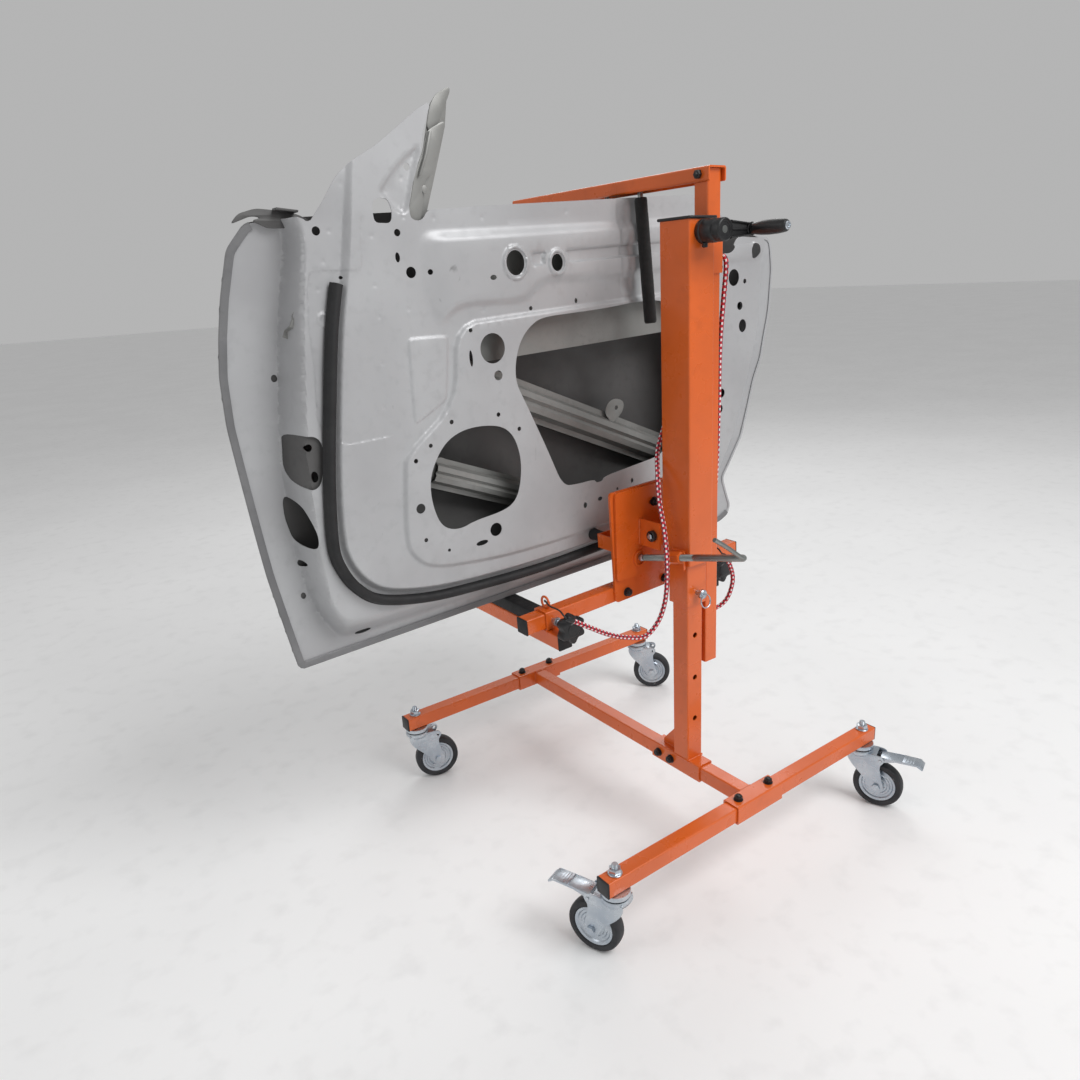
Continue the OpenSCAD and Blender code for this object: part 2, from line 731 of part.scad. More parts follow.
module turn_plate() {
    color(paint) rolled() difference() {
        translate([0, turn_back_y, (turn_plate_z0 + turn_plate_z1) / 2])
            rotate([90, 0, 0]) linear_extrude(plate_t)
                rounded(plate_w, turn_plate_z1 - turn_plate_z0, 8);
        translate([0, turn_face_y - 1, turn_z])
            to_y() rod(turn_pin_d + 2 * run, plate_t + 2);
        translate([0, turn_face_y - 1, clamp_z]) to_y() rod(clamp_d, plate_t + 2);
        for (x = lower_bolt_x) translate([x, turn_face_y - 1, cross_z])
            to_y() rod(clamp_d, plate_t + 2);
    }
}

module plate_bolts() {
    color(plastic) rolled() {
        translate([0, tilt_face_y - slip, clamp_z]) to_y()
            capped_bolt(clamp_d, turn_back_y - tilt_face_y + slip);
        for (x = lower_bolt_x) translate([x, turn_face_y, cross_z])
            to_y() capped_bolt(clamp_d, plate_t + cross_w);
    }
}

module cross_tube() {
    color(paint) rolled() difference() {
        translate([-cross_left, cross_y, cross_z])
            to_x() tube(cross_w, cross_w, base_wall, cross_left + cross_right);
        for (x = lower_bolt_x) translate([x, turn_back_y - 1, cross_z])
            to_y() rod(clamp_d, cross_w + 2);
    }
}

module stop_bracket() {
    color(paint) rolled() for (x = [-82, 82]) translate([x, turn_back_y, tilt_z - 26])
        difference() {
            translate([-20, 0, 0]) cube([40, 42, 28]);
            translate([-17, -1, -1]) cube([34, 40, 30]);
            translate([0, 30, 14]) to_y() rod(stud_d, 20);
        }
}

module stop_buffers() {
    stop_y = turn_back_y + 42;
    color(rubber) rolled() {
        for (x = [-82, 82]) translate([x, stop_y, tilt_z - 12]) to_y() {
            rod(24, face_y - 0.4 - stop_y);
            translate([0, 0, -8]) rod(stud_d, 8);
        }
        for (e = [[-cross_left, -90], [cross_right, 90]])
            translate([e[0], cross_y, cross_z]) rotate([0, e[1], 0])
                linear_extrude(3) rounded(cross_w, cross_w, corner_r);
    }
}

module support_arm(x) {
    color(paint) rolled() translate([x, 0, 0]) {
        difference() {
            translate([-arm_sleeve_l / 2, cross_y, cross_z])
                to_x() tube(arm_sleeve_w, arm_sleeve_w, sleeve_wall, arm_sleeve_l);
            translate([0, knob_y - 1, cross_z]) to_y() rod(stud_d + 2 * run, sleeve_wall + 2);
        }
        translate([0, support_y0, support_top - support_w / 2])
            to_y() tube(support_w, support_w, base_wall, support_l);
        translate([0, cross_y + 2, cross_z + arm_sleeve_w / 2 + eye_r]) rotate([0, 90, 0])
            rotate_extrude() translate([eye_r, 0]) circle(2.2, $fn = 16);
    }
}

module support_pad(x) {
    pad_y = cross_y + arm_sleeve_w / 2 + 1;
    color(rubber) rolled() translate([x, 0, 0]) {
        translate([-support_w / 2, pad_y, support_top])
            cube([support_w, support_y0 + support_l - pad_y, pad_top - support_top]);
        translate([0, support_y0 - 3, support_top - support_w / 2])
            to_y() linear_extrude(3) rounded(support_w, support_w, corner_r);
        translate([0, support_y0 + support_l, support_top - support_w / 2])
            to_y() linear_extrude(3) rounded(support_w, support_w, corner_r);
    }
}

module arm_knob(x) {
    color(plastic) rolled() translate([x, knob_y, cross_z]) rotate([90, 0, 0]) {
        translate([0, 0, -sleeve_wall]) rod(stud_d, sleeve_wall + 42);
        translate([0, 0, 8]) cylinder(d = 15, h = 7, $fn = 6);
        translate([0, 0, 42]) star_knob(56, 22, 20);
    }
}

module left_arm() support_arm(left_x);
module left_arm_pad() support_pad(left_x);
module left_knob() arm_knob(left_x);
module right_arm() support_arm(right_x);
module right_arm_pad() support_pad(right_x);
module right_knob() arm_knob(right_x);

// ---- bungee cord ----

module bungee_cord() {
    steps = 2;
    rings = steps * (len(cord_route) - 1);
    path = [for (k = [0:rings]) along(cord_route, k / steps)];
    ring = [for (k = [0:rings])
        let(t = unit(path[min(k + 1, rings)] - path[max(k - 1, 0)]), n = side_of(t),
            b = cross(t, n))
        for (j = [0:cord_sides - 1]) path[k] + cord_d / 2
            * (cos(j * 360 / cord_sides) * n + sin(j * 360 / cord_sides) * b)];
    walls = [for (k = [0:rings - 1], j = [0:cord_sides - 1])
        let(a = k * cord_sides + j, b = k * cord_sides + (j + 1) % cord_sides)
        [b, a, a + cord_sides, b + cord_sides]];
    color("firebrick") polyhedron(ring, concat(walls,
        [[for (j = [0:cord_sides - 1]) j]],
        [[for (j = [cord_sides - 1:-1:0]) rings * cord_sides + j]]));
}

// Wire hook from the cord's end to the eye on a support arm
module wire_hook(end, eye) {
    v = eye - end;
    color(plastic) translate(end) {
        sphere(d = cord_d + 3);
        rotate([0, acos(v[2] / norm(v)), atan2(v[1], v[0])]) rod(4, norm(v));
    }
}

module bungee_hooks() {
    wire_hook(cord_route[0], hook_ends[0]);
    wire_hook(cord_route[len(cord_route) - 1], hook_ends[1]);
}

// ---- door ----

// Drawing plane of the door: x along the door, y up from the sill, extruded inwards
module door_prism(y0, y1) translate([0, y1, sill_z]) rotate([90, 0, 0])
    linear_extrude(y1 - y0) children();

module skin_cylinder(r, l = 1700) translate([-l / 2, skin_axis_y, skin_axis_z])
    rotate([0, 90, 0]) cylinder(r = r, h = l, $fn = 360);

// Everything nearer to the operator than the skin's inner side, less the given gap
module inside_skin(gap, y0, y1) intersection() {
    door_prism(y0, y1) children();
    skin_cylinder(skin_r - gap);
}

function inset(points, d) = [for (k = [0:len(points) - 1])
    let(n = len(points), a = points[(k + n - 1) % n], b = points[k], c = points[(k + 1) % n],
        u = (b - a) / norm(b - a), v = (c - b) / norm(c - b),
        nu = [u[1], -u[0]], nv = [v[1], -v[0]], m = nu + nv)
    b + d * 2 * m / (m * m)];

// Flat face with its holes, and the sail above it, parted at the belt line
module door_inner_panel() {
    color(bare_sheet) rolled() difference() {
        door_prism(face_y, face_y + sheet) {
            polygon(face_points);
            polygon(sail_points);
        }
        door_prism(face_y - 1, face_y + sheet + 1) {
            polygon(access_points);
            polygon(speaker_points);
            translate([-460, belt_h - 11]) square([28, 28]);
            translate([-900, belt_h + 2]) square([1800, 0.3]);
        }
        for (h = concat(face_holes, [[-384, belt_h + 51, 12]]))
            translate([h[0], face_y - 1, sill_z + h[1]]) to_y() rod(h[2], sheet + 2);
    }
}

// Walls between the inner face and the skin, with the flange inside the hem. They are one
// pressing for each of the hinge, sill and latch sides, parted at the height of the lower corners.
module door_side_walls() {
    deep = hem_y + bulge + 10;
    color(bare_sheet) rolled() {
        difference() {
            inside_skin(sheet, face_y + sheet, deep) difference() {
                polygon(face_points);
                polygon(inset(face_points, sheet));
                translate([-420, belt_h - 10]) square([840, 20]);
                side_seam();
            }
            translate([-660, 20, sill_z + 305]) cube([60, 34, 95]);
        }
        difference() {
            inside_skin(sheet, face_y + sheet, deep) difference() {
                polygon(inset(hem_points, 1));
                polygon(face_points);
                translate([-900, belt_h - 12]) square([1800, 40]);
                side_seam();
            }
            skin_cylinder(skin_r - 2 * sheet);
        }
    }
}

module side_seam() translate([-900, 104]) square([1800, 0.3]);

module door_outer_skin() {
    color("gray") rolled() difference() {
        inside_skin(0, hem_y - 30, hem_y + bulge + 10) polygon(hem_points);
        skin_cylinder(skin_r - sheet);
    }
}

module door_impact_beams() {
    beam_y = 60;
    beam_d = 26;
    color("dimgray") rolled() for (b = [[-594, 572, 288, 144], [-392, 281, 10, 95]])
        translate([b[0], beam_y, sill_z + b[1]])
            rotate([0, 90 - atan2(b[3] - b[1], b[2] - b[0]), 0])
                difference() {
                    rod(beam_d, norm([b[2] - b[0], b[3] - b[1]]));
                    translate([0, 0, -1]) rod(beam_d - 4, 2000);
                }
}

// Folded post of the sail and the bracket on the front end of the belt
module door_reinforcements() {
    color("dimgray") rolled() {
        difference() {
            door_prism(face_y + sheet, face_y + 14) polygon([[-362, belt_h + 92],
                [-335, belt_h + 159], [-303, belt_h + 172], [-318, belt_h + 118],
                [-352, belt_h - 40], [-380, belt_h - 40]]);
            door_prism(face_y, face_y + 40) translate([-384, belt_h + 51]) circle(6);
        }
        door_prism(face_y + 24, face_y + 50)
            polygon([[-668, belt_h + 2], [-600, belt_h + 12], [-540, belt_h + 8],
                [-500, belt_h - 30], [-560, belt_h - 30], [-640, belt_h - 6]]);
    }
}

// Points at distance d to the side of a line of points
function beside(points, d) = let(n = len(points) - 1) [for (k = [0:n])
    let(t = points[min(k + 1, n)] - points[max(k - 1, 0)]) points[k] + d * [-t[1], t[0]] / norm(t)];

module door_seal() {
    one = beside(seal_points, seal_w / 2);
    other = beside(seal_points, -seal_w / 2);
    color(plastic) rolled() door_prism(face_y - seal_t, face_y)
        polygon(concat(one, [for (k = [len(other) - 1:-1:0]) other[k]]));
}

side_beams();
crossbeam();
beam_end_caps();
base_bolts();
caster_stems();
caster_fork_1();
caster_fork_2();
caster_fork_3();
caster_fork_4();
caster_wheel_1();
caster_wheel_2();
caster_wheel_3();
caster_wheel_4();
brake_pedal_1();
brake_pedal_2();
lower_mast();
middle_mast();
jack_nut();
ring_pin();
outer_mast();
mast_cap();
guide_liners();
jack_screw();
crank_shaft();
crank_housing();
crank_arm();
crank_grip();
post_sleeve();
top_post();
post_knob();
top_arm();
arm_bolt();
near_rod();
near_rod_foam();
outer_rod();
outer_rod_foam();
tilt_plate();
tilt_bolt();
screw_block();
tilt_screw();
screw_foot();
turn_plate();
plate_bolts();
cross_tube();
stop_bracket();
stop_buffers();
left_arm();
left_arm_pad();
left_knob();
right_arm();
right_arm_pad();
right_knob();
bungee_cord();
bungee_hooks();
door_inner_panel();
door_side_walls();
door_outer_skin();
door_impact_beams();
door_reinforcements();
door_seal();
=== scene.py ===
"""Looks of a lift trolley that carries a bare car door shell, built around its packed frame."""

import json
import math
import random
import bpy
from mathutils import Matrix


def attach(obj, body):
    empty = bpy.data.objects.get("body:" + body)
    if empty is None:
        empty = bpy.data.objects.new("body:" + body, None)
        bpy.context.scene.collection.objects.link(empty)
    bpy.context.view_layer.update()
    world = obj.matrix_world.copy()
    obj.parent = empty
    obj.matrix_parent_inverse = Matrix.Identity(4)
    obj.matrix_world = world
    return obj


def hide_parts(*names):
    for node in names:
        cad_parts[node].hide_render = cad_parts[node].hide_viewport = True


bl_info = {
    "name": "Door Trolley",
    "version": (1, 0, 0),
    "blender": (4, 5, 0),
    "location": "View3D > Sidebar > Trolley",
    "description": "Builds the detailed pieces, finishes and studio of a door lift trolley",
    "category": "Add Mesh",
}

import bpy
import numpy as np
from mathutils import Matrix, Vector
from mathutils.geometry import delaunay_2d_cdt

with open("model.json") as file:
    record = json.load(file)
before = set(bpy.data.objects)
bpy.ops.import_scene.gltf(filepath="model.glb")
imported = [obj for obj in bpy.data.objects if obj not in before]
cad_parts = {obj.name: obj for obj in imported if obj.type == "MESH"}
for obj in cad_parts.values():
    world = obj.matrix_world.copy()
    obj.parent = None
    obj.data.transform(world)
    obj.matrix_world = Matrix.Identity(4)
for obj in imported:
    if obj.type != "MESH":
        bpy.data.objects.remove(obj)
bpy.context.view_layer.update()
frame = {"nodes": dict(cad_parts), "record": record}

MM = 0.001
ROLL = math.radians(2.1)
TURN_Z = 640.0
SILL = 531.0
SKIN_AXIS_Z = SILL + 357.5
SKIN_R = (357.5**2 + 38.0**2) / 76.0
SKIN_AXIS_Y = 96.0 - SKIN_R
MAST_Y = -180.0
POST_X = 49.4
ARM_Z = 1263.4
CRANK_Z = 1172.0
PIVOT = (-131, 637)
BEAM_Y, BEAM_Z = 350, 153
CROSS_Z = 522
ARMS = (("left", -256), ("right", 136))
TRAIL, AXLE_Z = 40, 50
SCREW_TIP = (-42, -92, 584)
SCREW_RISE = math.radians(13.5)
SENSOR = 36
FOCAL = 830.895 / 1080
CAMERA_AT = (-1.0797, -1.2312, 1.1180)
CASTERS = ((-345, -350, 111), (345, -350, -69), (-345, 350, -15), (345, 350, -44))

# ---------------------------------------------------------------- object helpers


def only(obj):
    """Selects one object and makes it active."""
    bpy.ops.object.select_all(action="DESELECT")
    obj.select_set(True)
    bpy.context.view_layer.objects.active = obj
    return obj


def new_mesh(name, points, faces, edges=()):
    """Adds a mesh object from points in metres."""
    mesh = bpy.data.meshes.new(name)
    mesh.from_pydata([tuple(p) for p in points], list(edges), list(faces))
    mesh.update()
    obj = bpy.data.objects.new(name, mesh)
    bpy.context.scene.collection.objects.link(obj)
    return only(obj)


def modify(obj, kind, **settings):
    """Adds a modifier to an object and applies it."""
    only(obj)
    mod = obj.modifiers.new(kind.title(), kind)
    for key, value in settings.items():
        setattr(mod, key, value)
    bpy.ops.object.modifier_apply(modifier=mod.name)
    return obj


def bevel(obj, width, segments=2, angle=35):
    return modify(obj, "BEVEL", width=width * MM, segments=segments, limit_method="ANGLE",
        angle_limit=math.radians(angle), harden_normals=False)


def outward(obj, merge=True):
    """Merges a mesh's doubles, if asked, and turns its faces outwards."""
    only(obj)
    bpy.ops.object.mode_set(mode="EDIT")
    bpy.ops.mesh.select_all(action="SELECT")
    if merge:
        bpy.ops.mesh.remove_doubles(threshold=1e-6)
    bpy.ops.mesh.normals_make_consistent(inside=False)
    bpy.ops.object.mode_set(mode="OBJECT")
    return obj


def settle(obj, matrix=None):
    """Applies an object's place to its mesh, after an optional move."""
    only(obj)
    if matrix is not None:
        obj.matrix_world = matrix @ obj.matrix_world
    bpy.ops.object.transform_apply(location=True, rotation=True, scale=True)
    return obj


def copy_of(obj, name, matrix):
    """A copy with its own mesh, moved by a matrix."""
    twin = obj.copy()
    twin.data = obj.data.copy()
    twin.name = name
    bpy.context.scene.collection.objects.link(twin)
    return settle(twin, matrix)


def join(name, parts):
    """Joins objects into one, under a new name."""
    bpy.ops.object.select_all(action="DESELECT")
    for part in parts:
        part.select_set(True)
    bpy.context.view_layer.objects.active = parts[0]
    if len(parts) > 1:
        bpy.ops.object.join()
    parts[0].name = name
    return only(parts[0])


def smooth(obj, angle=35):
    only(obj)
    bpy.ops.object.shade_smooth_by_angle(angle=math.radians(angle))
    return obj


def done(obj, body, slot, replaced=(), angle=35, paint=None):
    """Finishes a piece: shading, material unless it has one, its body and the nodes it stands for."""
    smooth(obj, angle)
    if not obj.data.materials:
        obj.data.materials.append(PAINTS[paint or slot])
    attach(obj, body)
    if replaced:
        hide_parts(*replaced)
    return obj


def at(x, y, z, direction=(0, 0, 1)):
    """Matrix that puts a shape built along Z at a point in mm, along a direction."""
    turn = Vector(direction).to_track_quat("Z", "Y").to_matrix().to_4x4()
    return Matrix.Translation(Vector((x, y, z)) * MM) @ turn


def moved(x, y, z, degrees=0, axis="X"):
    """Matrix of a turn about an axis, then a move in mm."""
    return Matrix.Translation(Vector((x, y, z)) * MM) @ Matrix.Rotation(math.radians(degrees), 4, axis)


def turned(name, profile, steps=48, matrix=None):
    """Turns a profile of (radius, height) in mm round the Z axis."""
    points = [(max(r, 0.0) * MM, 0, h * MM) for r, h in profile]
    obj = new_mesh(name, points, [], [(k, k + 1) for k in range(len(points) - 1)])
    modify(obj, "SCREW", angle=math.tau, screw_offset=0, steps=steps, render_steps=steps, axis="Z",
        use_merge_vertices=True, merge_threshold=1e-6, use_normal_calculate=True)
    return settle(outward(obj), matrix)


def plate(name, outline, thick, edge=0.5, holes=(), matrix=None):
    """A flat plate in mm: an outline in XY with holes, its thickness centred on Z = 0."""
    curve = bpy.data.curves.new(name, "CURVE")
    curve.dimensions = "2D"
    curve.fill_mode = "BOTH"
    curve.extrude = (thick / 2 - edge) * MM
    curve.bevel_depth = edge * MM
    curve.bevel_resolution = 1
    curve.offset = -edge * MM
    for loop in (outline, *holes):
        spline = curve.splines.new("POLY")
        spline.points.add(len(loop) - 1)
        spline.use_cyclic_u = True
        for point, (x, y) in zip(spline.points, loop):
            point.co = (x * MM, y * MM, 0, 1)
    obj = bpy.data.objects.new(name, curve)
    bpy.context.scene.collection.objects.link(obj)
    only(obj)
    bpy.ops.object.convert(target="MESH")
    return settle(outward(obj), matrix)


def ring(x, y, rx, ry=None, count=24):
    """Points of an ellipse."""
    ry = rx if ry is None else ry
    return [(x + rx * math.cos(k * math.tau / count), y + ry * math.sin(k * math.tau / count))
        for k in range(count)]


def rounded_box(name, size, centre, radius=2.0, segments=3, matrix=None):
    """A box with rounded edges, sizes in mm."""
    bpy.ops.object.select_all(action="DESELECT")
    bpy.ops.mesh.primitive_cube_add(size=1, location=Vector(centre) * MM)
    obj = bpy.context.active_object
    obj.name = name
    obj.scale = Vector(size) * MM
    settle(obj)
    return settle(bevel(obj, radius, segments), matrix)


def spread(points, step):
    """Resamples an open line of points, in mm, at even steps on a smooth curve."""
    pts = [np.array(p, float) for p in points]
    fine = []
    for k in range(len(pts) - 1):
        a, b, c, d = pts[max(k - 1, 0)], pts[k], pts[k + 1], pts[min(k + 2, len(pts) - 1)]
        for u in np.linspace(0, 1, 16, endpoint=False):
            fine.append(0.5 * (2 * b + (c - a) * u + (2 * a - 5 * b + 4 * c - d) * u * u
                + (3 * b - a - 3 * c + d) * u**3))
    fine.append(pts[-1])
    fine = np.array(fine)
    along = np.concatenate([[0], np.cumsum(np.linalg.norm(np.diff(fine, axis=0), axis=1))])
    count = max(2, int(round(along[-1] / step)) + 1)
    wanted = np.linspace(0, along[-1], count)
    return np.stack([np.interp(wanted, along, fine[:, i]) for i in range(fine.shape[1])], 1)


def swept(name, path, profile, closed_ends=True):
    """Sweeps a closed profile of (side, up) in mm along a path in mm; the map's U runs along in metres."""
    path = np.array(path, float)
    count, sides = len(path), len(profile)
    tangents = np.gradient(path, axis=0)
    tangents /= np.linalg.norm(tangents, axis=1)[:, None]
    up = np.array([0, 1.0, 0]) if abs(tangents[0][1]) < 0.8 else np.array([1.0, 0, 0])
    points = []
    for k in range(count):
        t = tangents[k]
        up = up - t * np.dot(up, t)
        up /= np.linalg.norm(up)
        side = np.cross(up, t)
        points += [tuple((path[k] + side * a + up * b) * MM) for a, b in profile]
    faces = []
    for k in range(count - 1):
        for j in range(sides):
            a, b = k * sides + j, k * sides + (j + 1) % sides
            faces.append((a, b, b + sides, a + sides))
    if closed_ends:
        faces.append(tuple(range(sides))[::-1])
        faces.append(tuple((count - 1) * sides + j for j in range(sides)))
    obj = new_mesh(name, points, faces)
    layer = obj.data.uv_layers.new(name="Along")
    run = np.concatenate([[0], np.cumsum(np.linalg.norm(np.diff(path, axis=0), axis=1))]) * MM
    for poly in obj.data.polygons:
        corners = [obj.data.loops[i].vertex_index for i in poly.loop_indices]
        wraps = len(corners) == 4 and max(c % sides for c in corners) - min(c % sides for c in corners) > 1
        for i, c in zip(poly.loop_indices, corners):
            v = c % sides
            if wraps and v == 0:
                v = sides
            layer.data[i].uv = (run[c // sides], v / sides)
    return outward(obj, merge=False)


def wire(name, path, radius, sides=10, step=2.5):
    return swept(name, spread(path, step), ring(0, 0, radius, count=sides))


def rolled(x, y, z):
    """Row-frame point, in mm, of a point given in the door's own upright frame."""
    h = z - TURN_Z
    return (x * math.cos(ROLL) - h * math.sin(ROLL), y, x * math.sin(ROLL) + h * math.cos(ROLL) + TURN_Z)


ROLLED = moved(0, 0, TURN_Z) @ Matrix.Rotation(-ROLL, 4, "Y") @ moved(0, 0, -TURN_Z)

# ---------------------------------------------------------------- finishes


def put(node, values):
    """Sets a node's open inputs by name."""
    for name, value in values.items():
        node.inputs[name].default_value = value


def finish(name, base, second, rough, blotch, grain, metal=0, coat=0, marks=None, sheen=0,
        stretch=(1, 1, 1)):
    """A material with a mottled colour, uneven roughness, a fine grain and optional marks."""
    mat = bpy.data.materials.new(name)
    mat.use_nodes = True
    tree = mat.node_tree
    tree.nodes.clear()
    add, link = tree.nodes.new, tree.links.new
    out = add("ShaderNodeOutputMaterial")
    shader = add("ShaderNodeBsdfPrincipled")
    link(shader.outputs[0], out.inputs[0])
    put(shader, {"Metallic": metal, "Coat Weight": coat, "Coat Roughness": 0.12, "Sheen Weight": sheen})
    place = add("ShaderNodeTexCoord")
    space = add("ShaderNodeMapping")
    put(space, {"Scale": stretch})
    link(place.outputs["Object"], space.inputs["Vector"])

    def noise(scale, detail=3.0, warp=0.0, source=space):
        node = add("ShaderNodeTexNoise")
        put(node, {"Scale": scale, "Detail": detail, "Distortion": warp})
        link(source.outputs[0], node.inputs["Vector"])
        return node

    def mix(factor, a, b):
        node = add("ShaderNodeMix")
        node.data_type = "RGBA"
        link(factor, node.inputs["Factor"])
        for slot, value in (("A", a), ("B", b)):
            socket = next(s for s in node.inputs if s.name == slot and s.type == "RGBA")
            if isinstance(value, tuple):
                socket.default_value = (*value, 1)
            else:
                link(value, socket)
        return next(s for s in node.outputs if s.type == "RGBA")

    def between(source, low, high):
        node = add("ShaderNodeMapRange")
        put(node, {"From Min": low, "From Max": high})
        link(source, node.inputs["Value"])
        return node.outputs["Result"]

    colour = mix(between(noise(blotch).outputs["Fac"], 0.35, 0.68), base, second)
    colour = mix(between(noise(blotch * 9, 5).outputs["Fac"], 0.52, 0.8), colour,
        tuple(0.5 * (a + b) * 0.93 for a, b in zip(base, second)))
    if marks:
        scale, threshold, tint, length = marks
        streak = add("ShaderNodeMapping")
        put(streak, {"Scale": length, "Rotation": (0.3, 0.2, 0.5)})
        link(place.outputs["Object"], streak.inputs["Vector"])
        colour = mix(between(noise(scale, 6, 0.4, streak).outputs["Fac"], threshold, threshold + 0.05),
            colour, tint)
    link(colour, shader.inputs["Base Color"])
    uneven = add("ShaderNodeMapRange")
    put(uneven, {"From Min": 0.3, "From Max": 0.7, "To Min": rough[0], "To Max": rough[1]})
    link(noise(blotch * 4, 4).outputs["Fac"], uneven.inputs["Value"])
    link(uneven.outputs["Result"], shader.inputs["Roughness"])
    bump = add("ShaderNodeBump")
    put(bump, {"Strength": 0.35, "Distance": grain[1] * MM})
    link(noise(grain[0], 2).outputs["Fac"], bump.inputs["Height"])
    link(bump.outputs[0], shader.inputs["Normal"])
    return mat


def cord_finish():
    """Woven red cover with white and black picks, laid out on the piece's own map."""
    mat = finish("bungee_cover", (0.55, 0.02, 0.04), (0.42, 0.015, 0.03), (0.6, 0.75), 40, (2500, 0.1))
    tree = mat.node_tree
    add, link = tree.nodes.new, tree.links.new
    shader = next(n for n in tree.nodes if n.type == "BSDF_PRINCIPLED")
    colour = shader.inputs["Base Color"].links[0].from_socket
    place = add("ShaderNodeUVMap")
    place.uv_map = "Along"
    for turn, tint in ((0.0, (0.8, 0.8, 0.8)), (0.5, (0.02, 0.02, 0.025))):
        space = add("ShaderNodeMapping")
        put(space, {"Scale": (105, 4, 1), "Rotation": (0, 0, 0.02), "Location": (turn, turn, 0)})
        link(place.outputs[0], space.inputs["Vector"])
        brick = add("ShaderNodeTexBrick")
        brick.offset = 0.5
        put(brick, {"Scale": 1, "Mortar Size": 0.28, "Mortar Smooth": 0.1, "Brick Width": 1, "Row Height": 1,
            "Color1": (1, 1, 1, 1), "Color2": (1, 1, 1, 1), "Mortar": (0, 0, 0, 1)})
        link(space.outputs[0], brick.inputs["Vector"])
        node = add("ShaderNodeMix")
        node.data_type = "RGBA"
        link(brick.outputs["Color"], node.inputs["Factor"])
        a, b = [s for s in node.inputs if s.type == "RGBA"]
        link(colour, a)
        b.default_value = (*tint, 1)
        colour = next(s for s in node.outputs if s.type == "RGBA")
    link(colour, shader.inputs["Base Color"])
    return mat


PAINTS = {}


def make_finishes(p):
    orange = tuple(p.paint_colour)
    deep = tuple(c * 0.86 for c in orange)
    even, along = (1, 1, 1), (1, 1, 0.4)
    table = {
        "orange_paint": ("orange_powder_coat", orange, deep, (0.24, 0.36), 5, (700, 0.05), 0, 0.25,
            (60, 0.80, (0.5, 0.24, 0.14), (1, 1, 0.35))),
        "black_plastic": ("black_nylon", (0.007, 0.007, 0.008), (0.013, 0.013, 0.014), (0.38, 0.5), 30,
            (1800, 0.06)),
        "black_rubber": ("black_rubber", (0.008, 0.008, 0.009), (0.016, 0.016, 0.017), (0.6, 0.75), 25,
            (1200, 0.1)),
        "foam": ("closed_cell_foam", (0.004, 0.004, 0.004), (0.008, 0.008, 0.008), (0.75, 0.9), 40,
            (1500, 0.35), 0, 0, None, 0.15),
        "tyre_rubber": ("tyre_rubber", (0.012, 0.013, 0.016), (0.03, 0.031, 0.035), (0.5, 0.68), 40,
            (900, 0.08), 0, 0, (90, 0.68, (0.12, 0.12, 0.12), even)),
        "zinc_plate": ("zinc_plate", (0.56, 0.60, 0.64), (0.42, 0.47, 0.53), (0.22, 0.38), 22,
            (600, 0.02), 0.95, 0, (140, 0.72, (0.3, 0.31, 0.32), even)),
        "plain_steel": ("oiled_steel", (0.32, 0.33, 0.32), (0.2, 0.21, 0.2), (0.25, 0.42), 30,
            (500, 0.03), 0.9, 0, None, 0, (1, 0.2, 1)),
        "bronze": ("machined_bronze", (0.55, 0.38, 0.16), (0.42, 0.28, 0.12), (0.3, 0.42), 30,
            (600, 0.03), 0.9),
        "white_liner": ("sliding_liner", (0.7, 0.7, 0.68), (0.6, 0.6, 0.57), (0.45, 0.6), 25,
            (600, 0.03)),
        "bare_panel": ("grey_primer", (0.47, 0.475, 0.485), (0.40, 0.40, 0.41), (0.36, 0.52), 6,
            (450, 0.03), 0.25, 0, (34, 0.735, (0.2, 0.2, 0.2), along)),
        # The door's grey primer darkened to near black as painted shade of the door's hollow inside, seen
        # through its holes.
        "dark_panel": ("dark_primer", (0.10, 0.098, 0.097), (0.07, 0.068, 0.068), (0.42, 0.58), 7,
            (450, 0.03), 0.1),
        # The hem's finish: the panel grey darkened as painted shade, for the hinge-side hem that lies in
        # shadow.
        "shaded_hem_paint": ("primed_hem", (0.20, 0.20, 0.205), (0.145, 0.145, 0.15), (0.4, 0.55), 8,
            (450, 0.03), 0.2),
        "inner_steel": ("galvanised_beam", (0.3, 0.3, 0.29), (0.22, 0.22, 0.21), (0.35, 0.5), 9,
            (450, 0.03), 0.35),
    }
    PAINTS.update({slot: finish(*row) for slot, row in table.items()})
    PAINTS["cord_cover"] = cord_finish()


def dress_frame():
    """Gives every CAD piece the finish of its slot."""
    slots = {s["node"]: s["material_slot"] for s in frame["record"]["subparts"]}
    for name, obj in frame["nodes"].items():
        obj.data.materials.clear()
        obj.data.materials.append(PAINTS[slots[name]])


# ---------------------------------------------------------------- stage


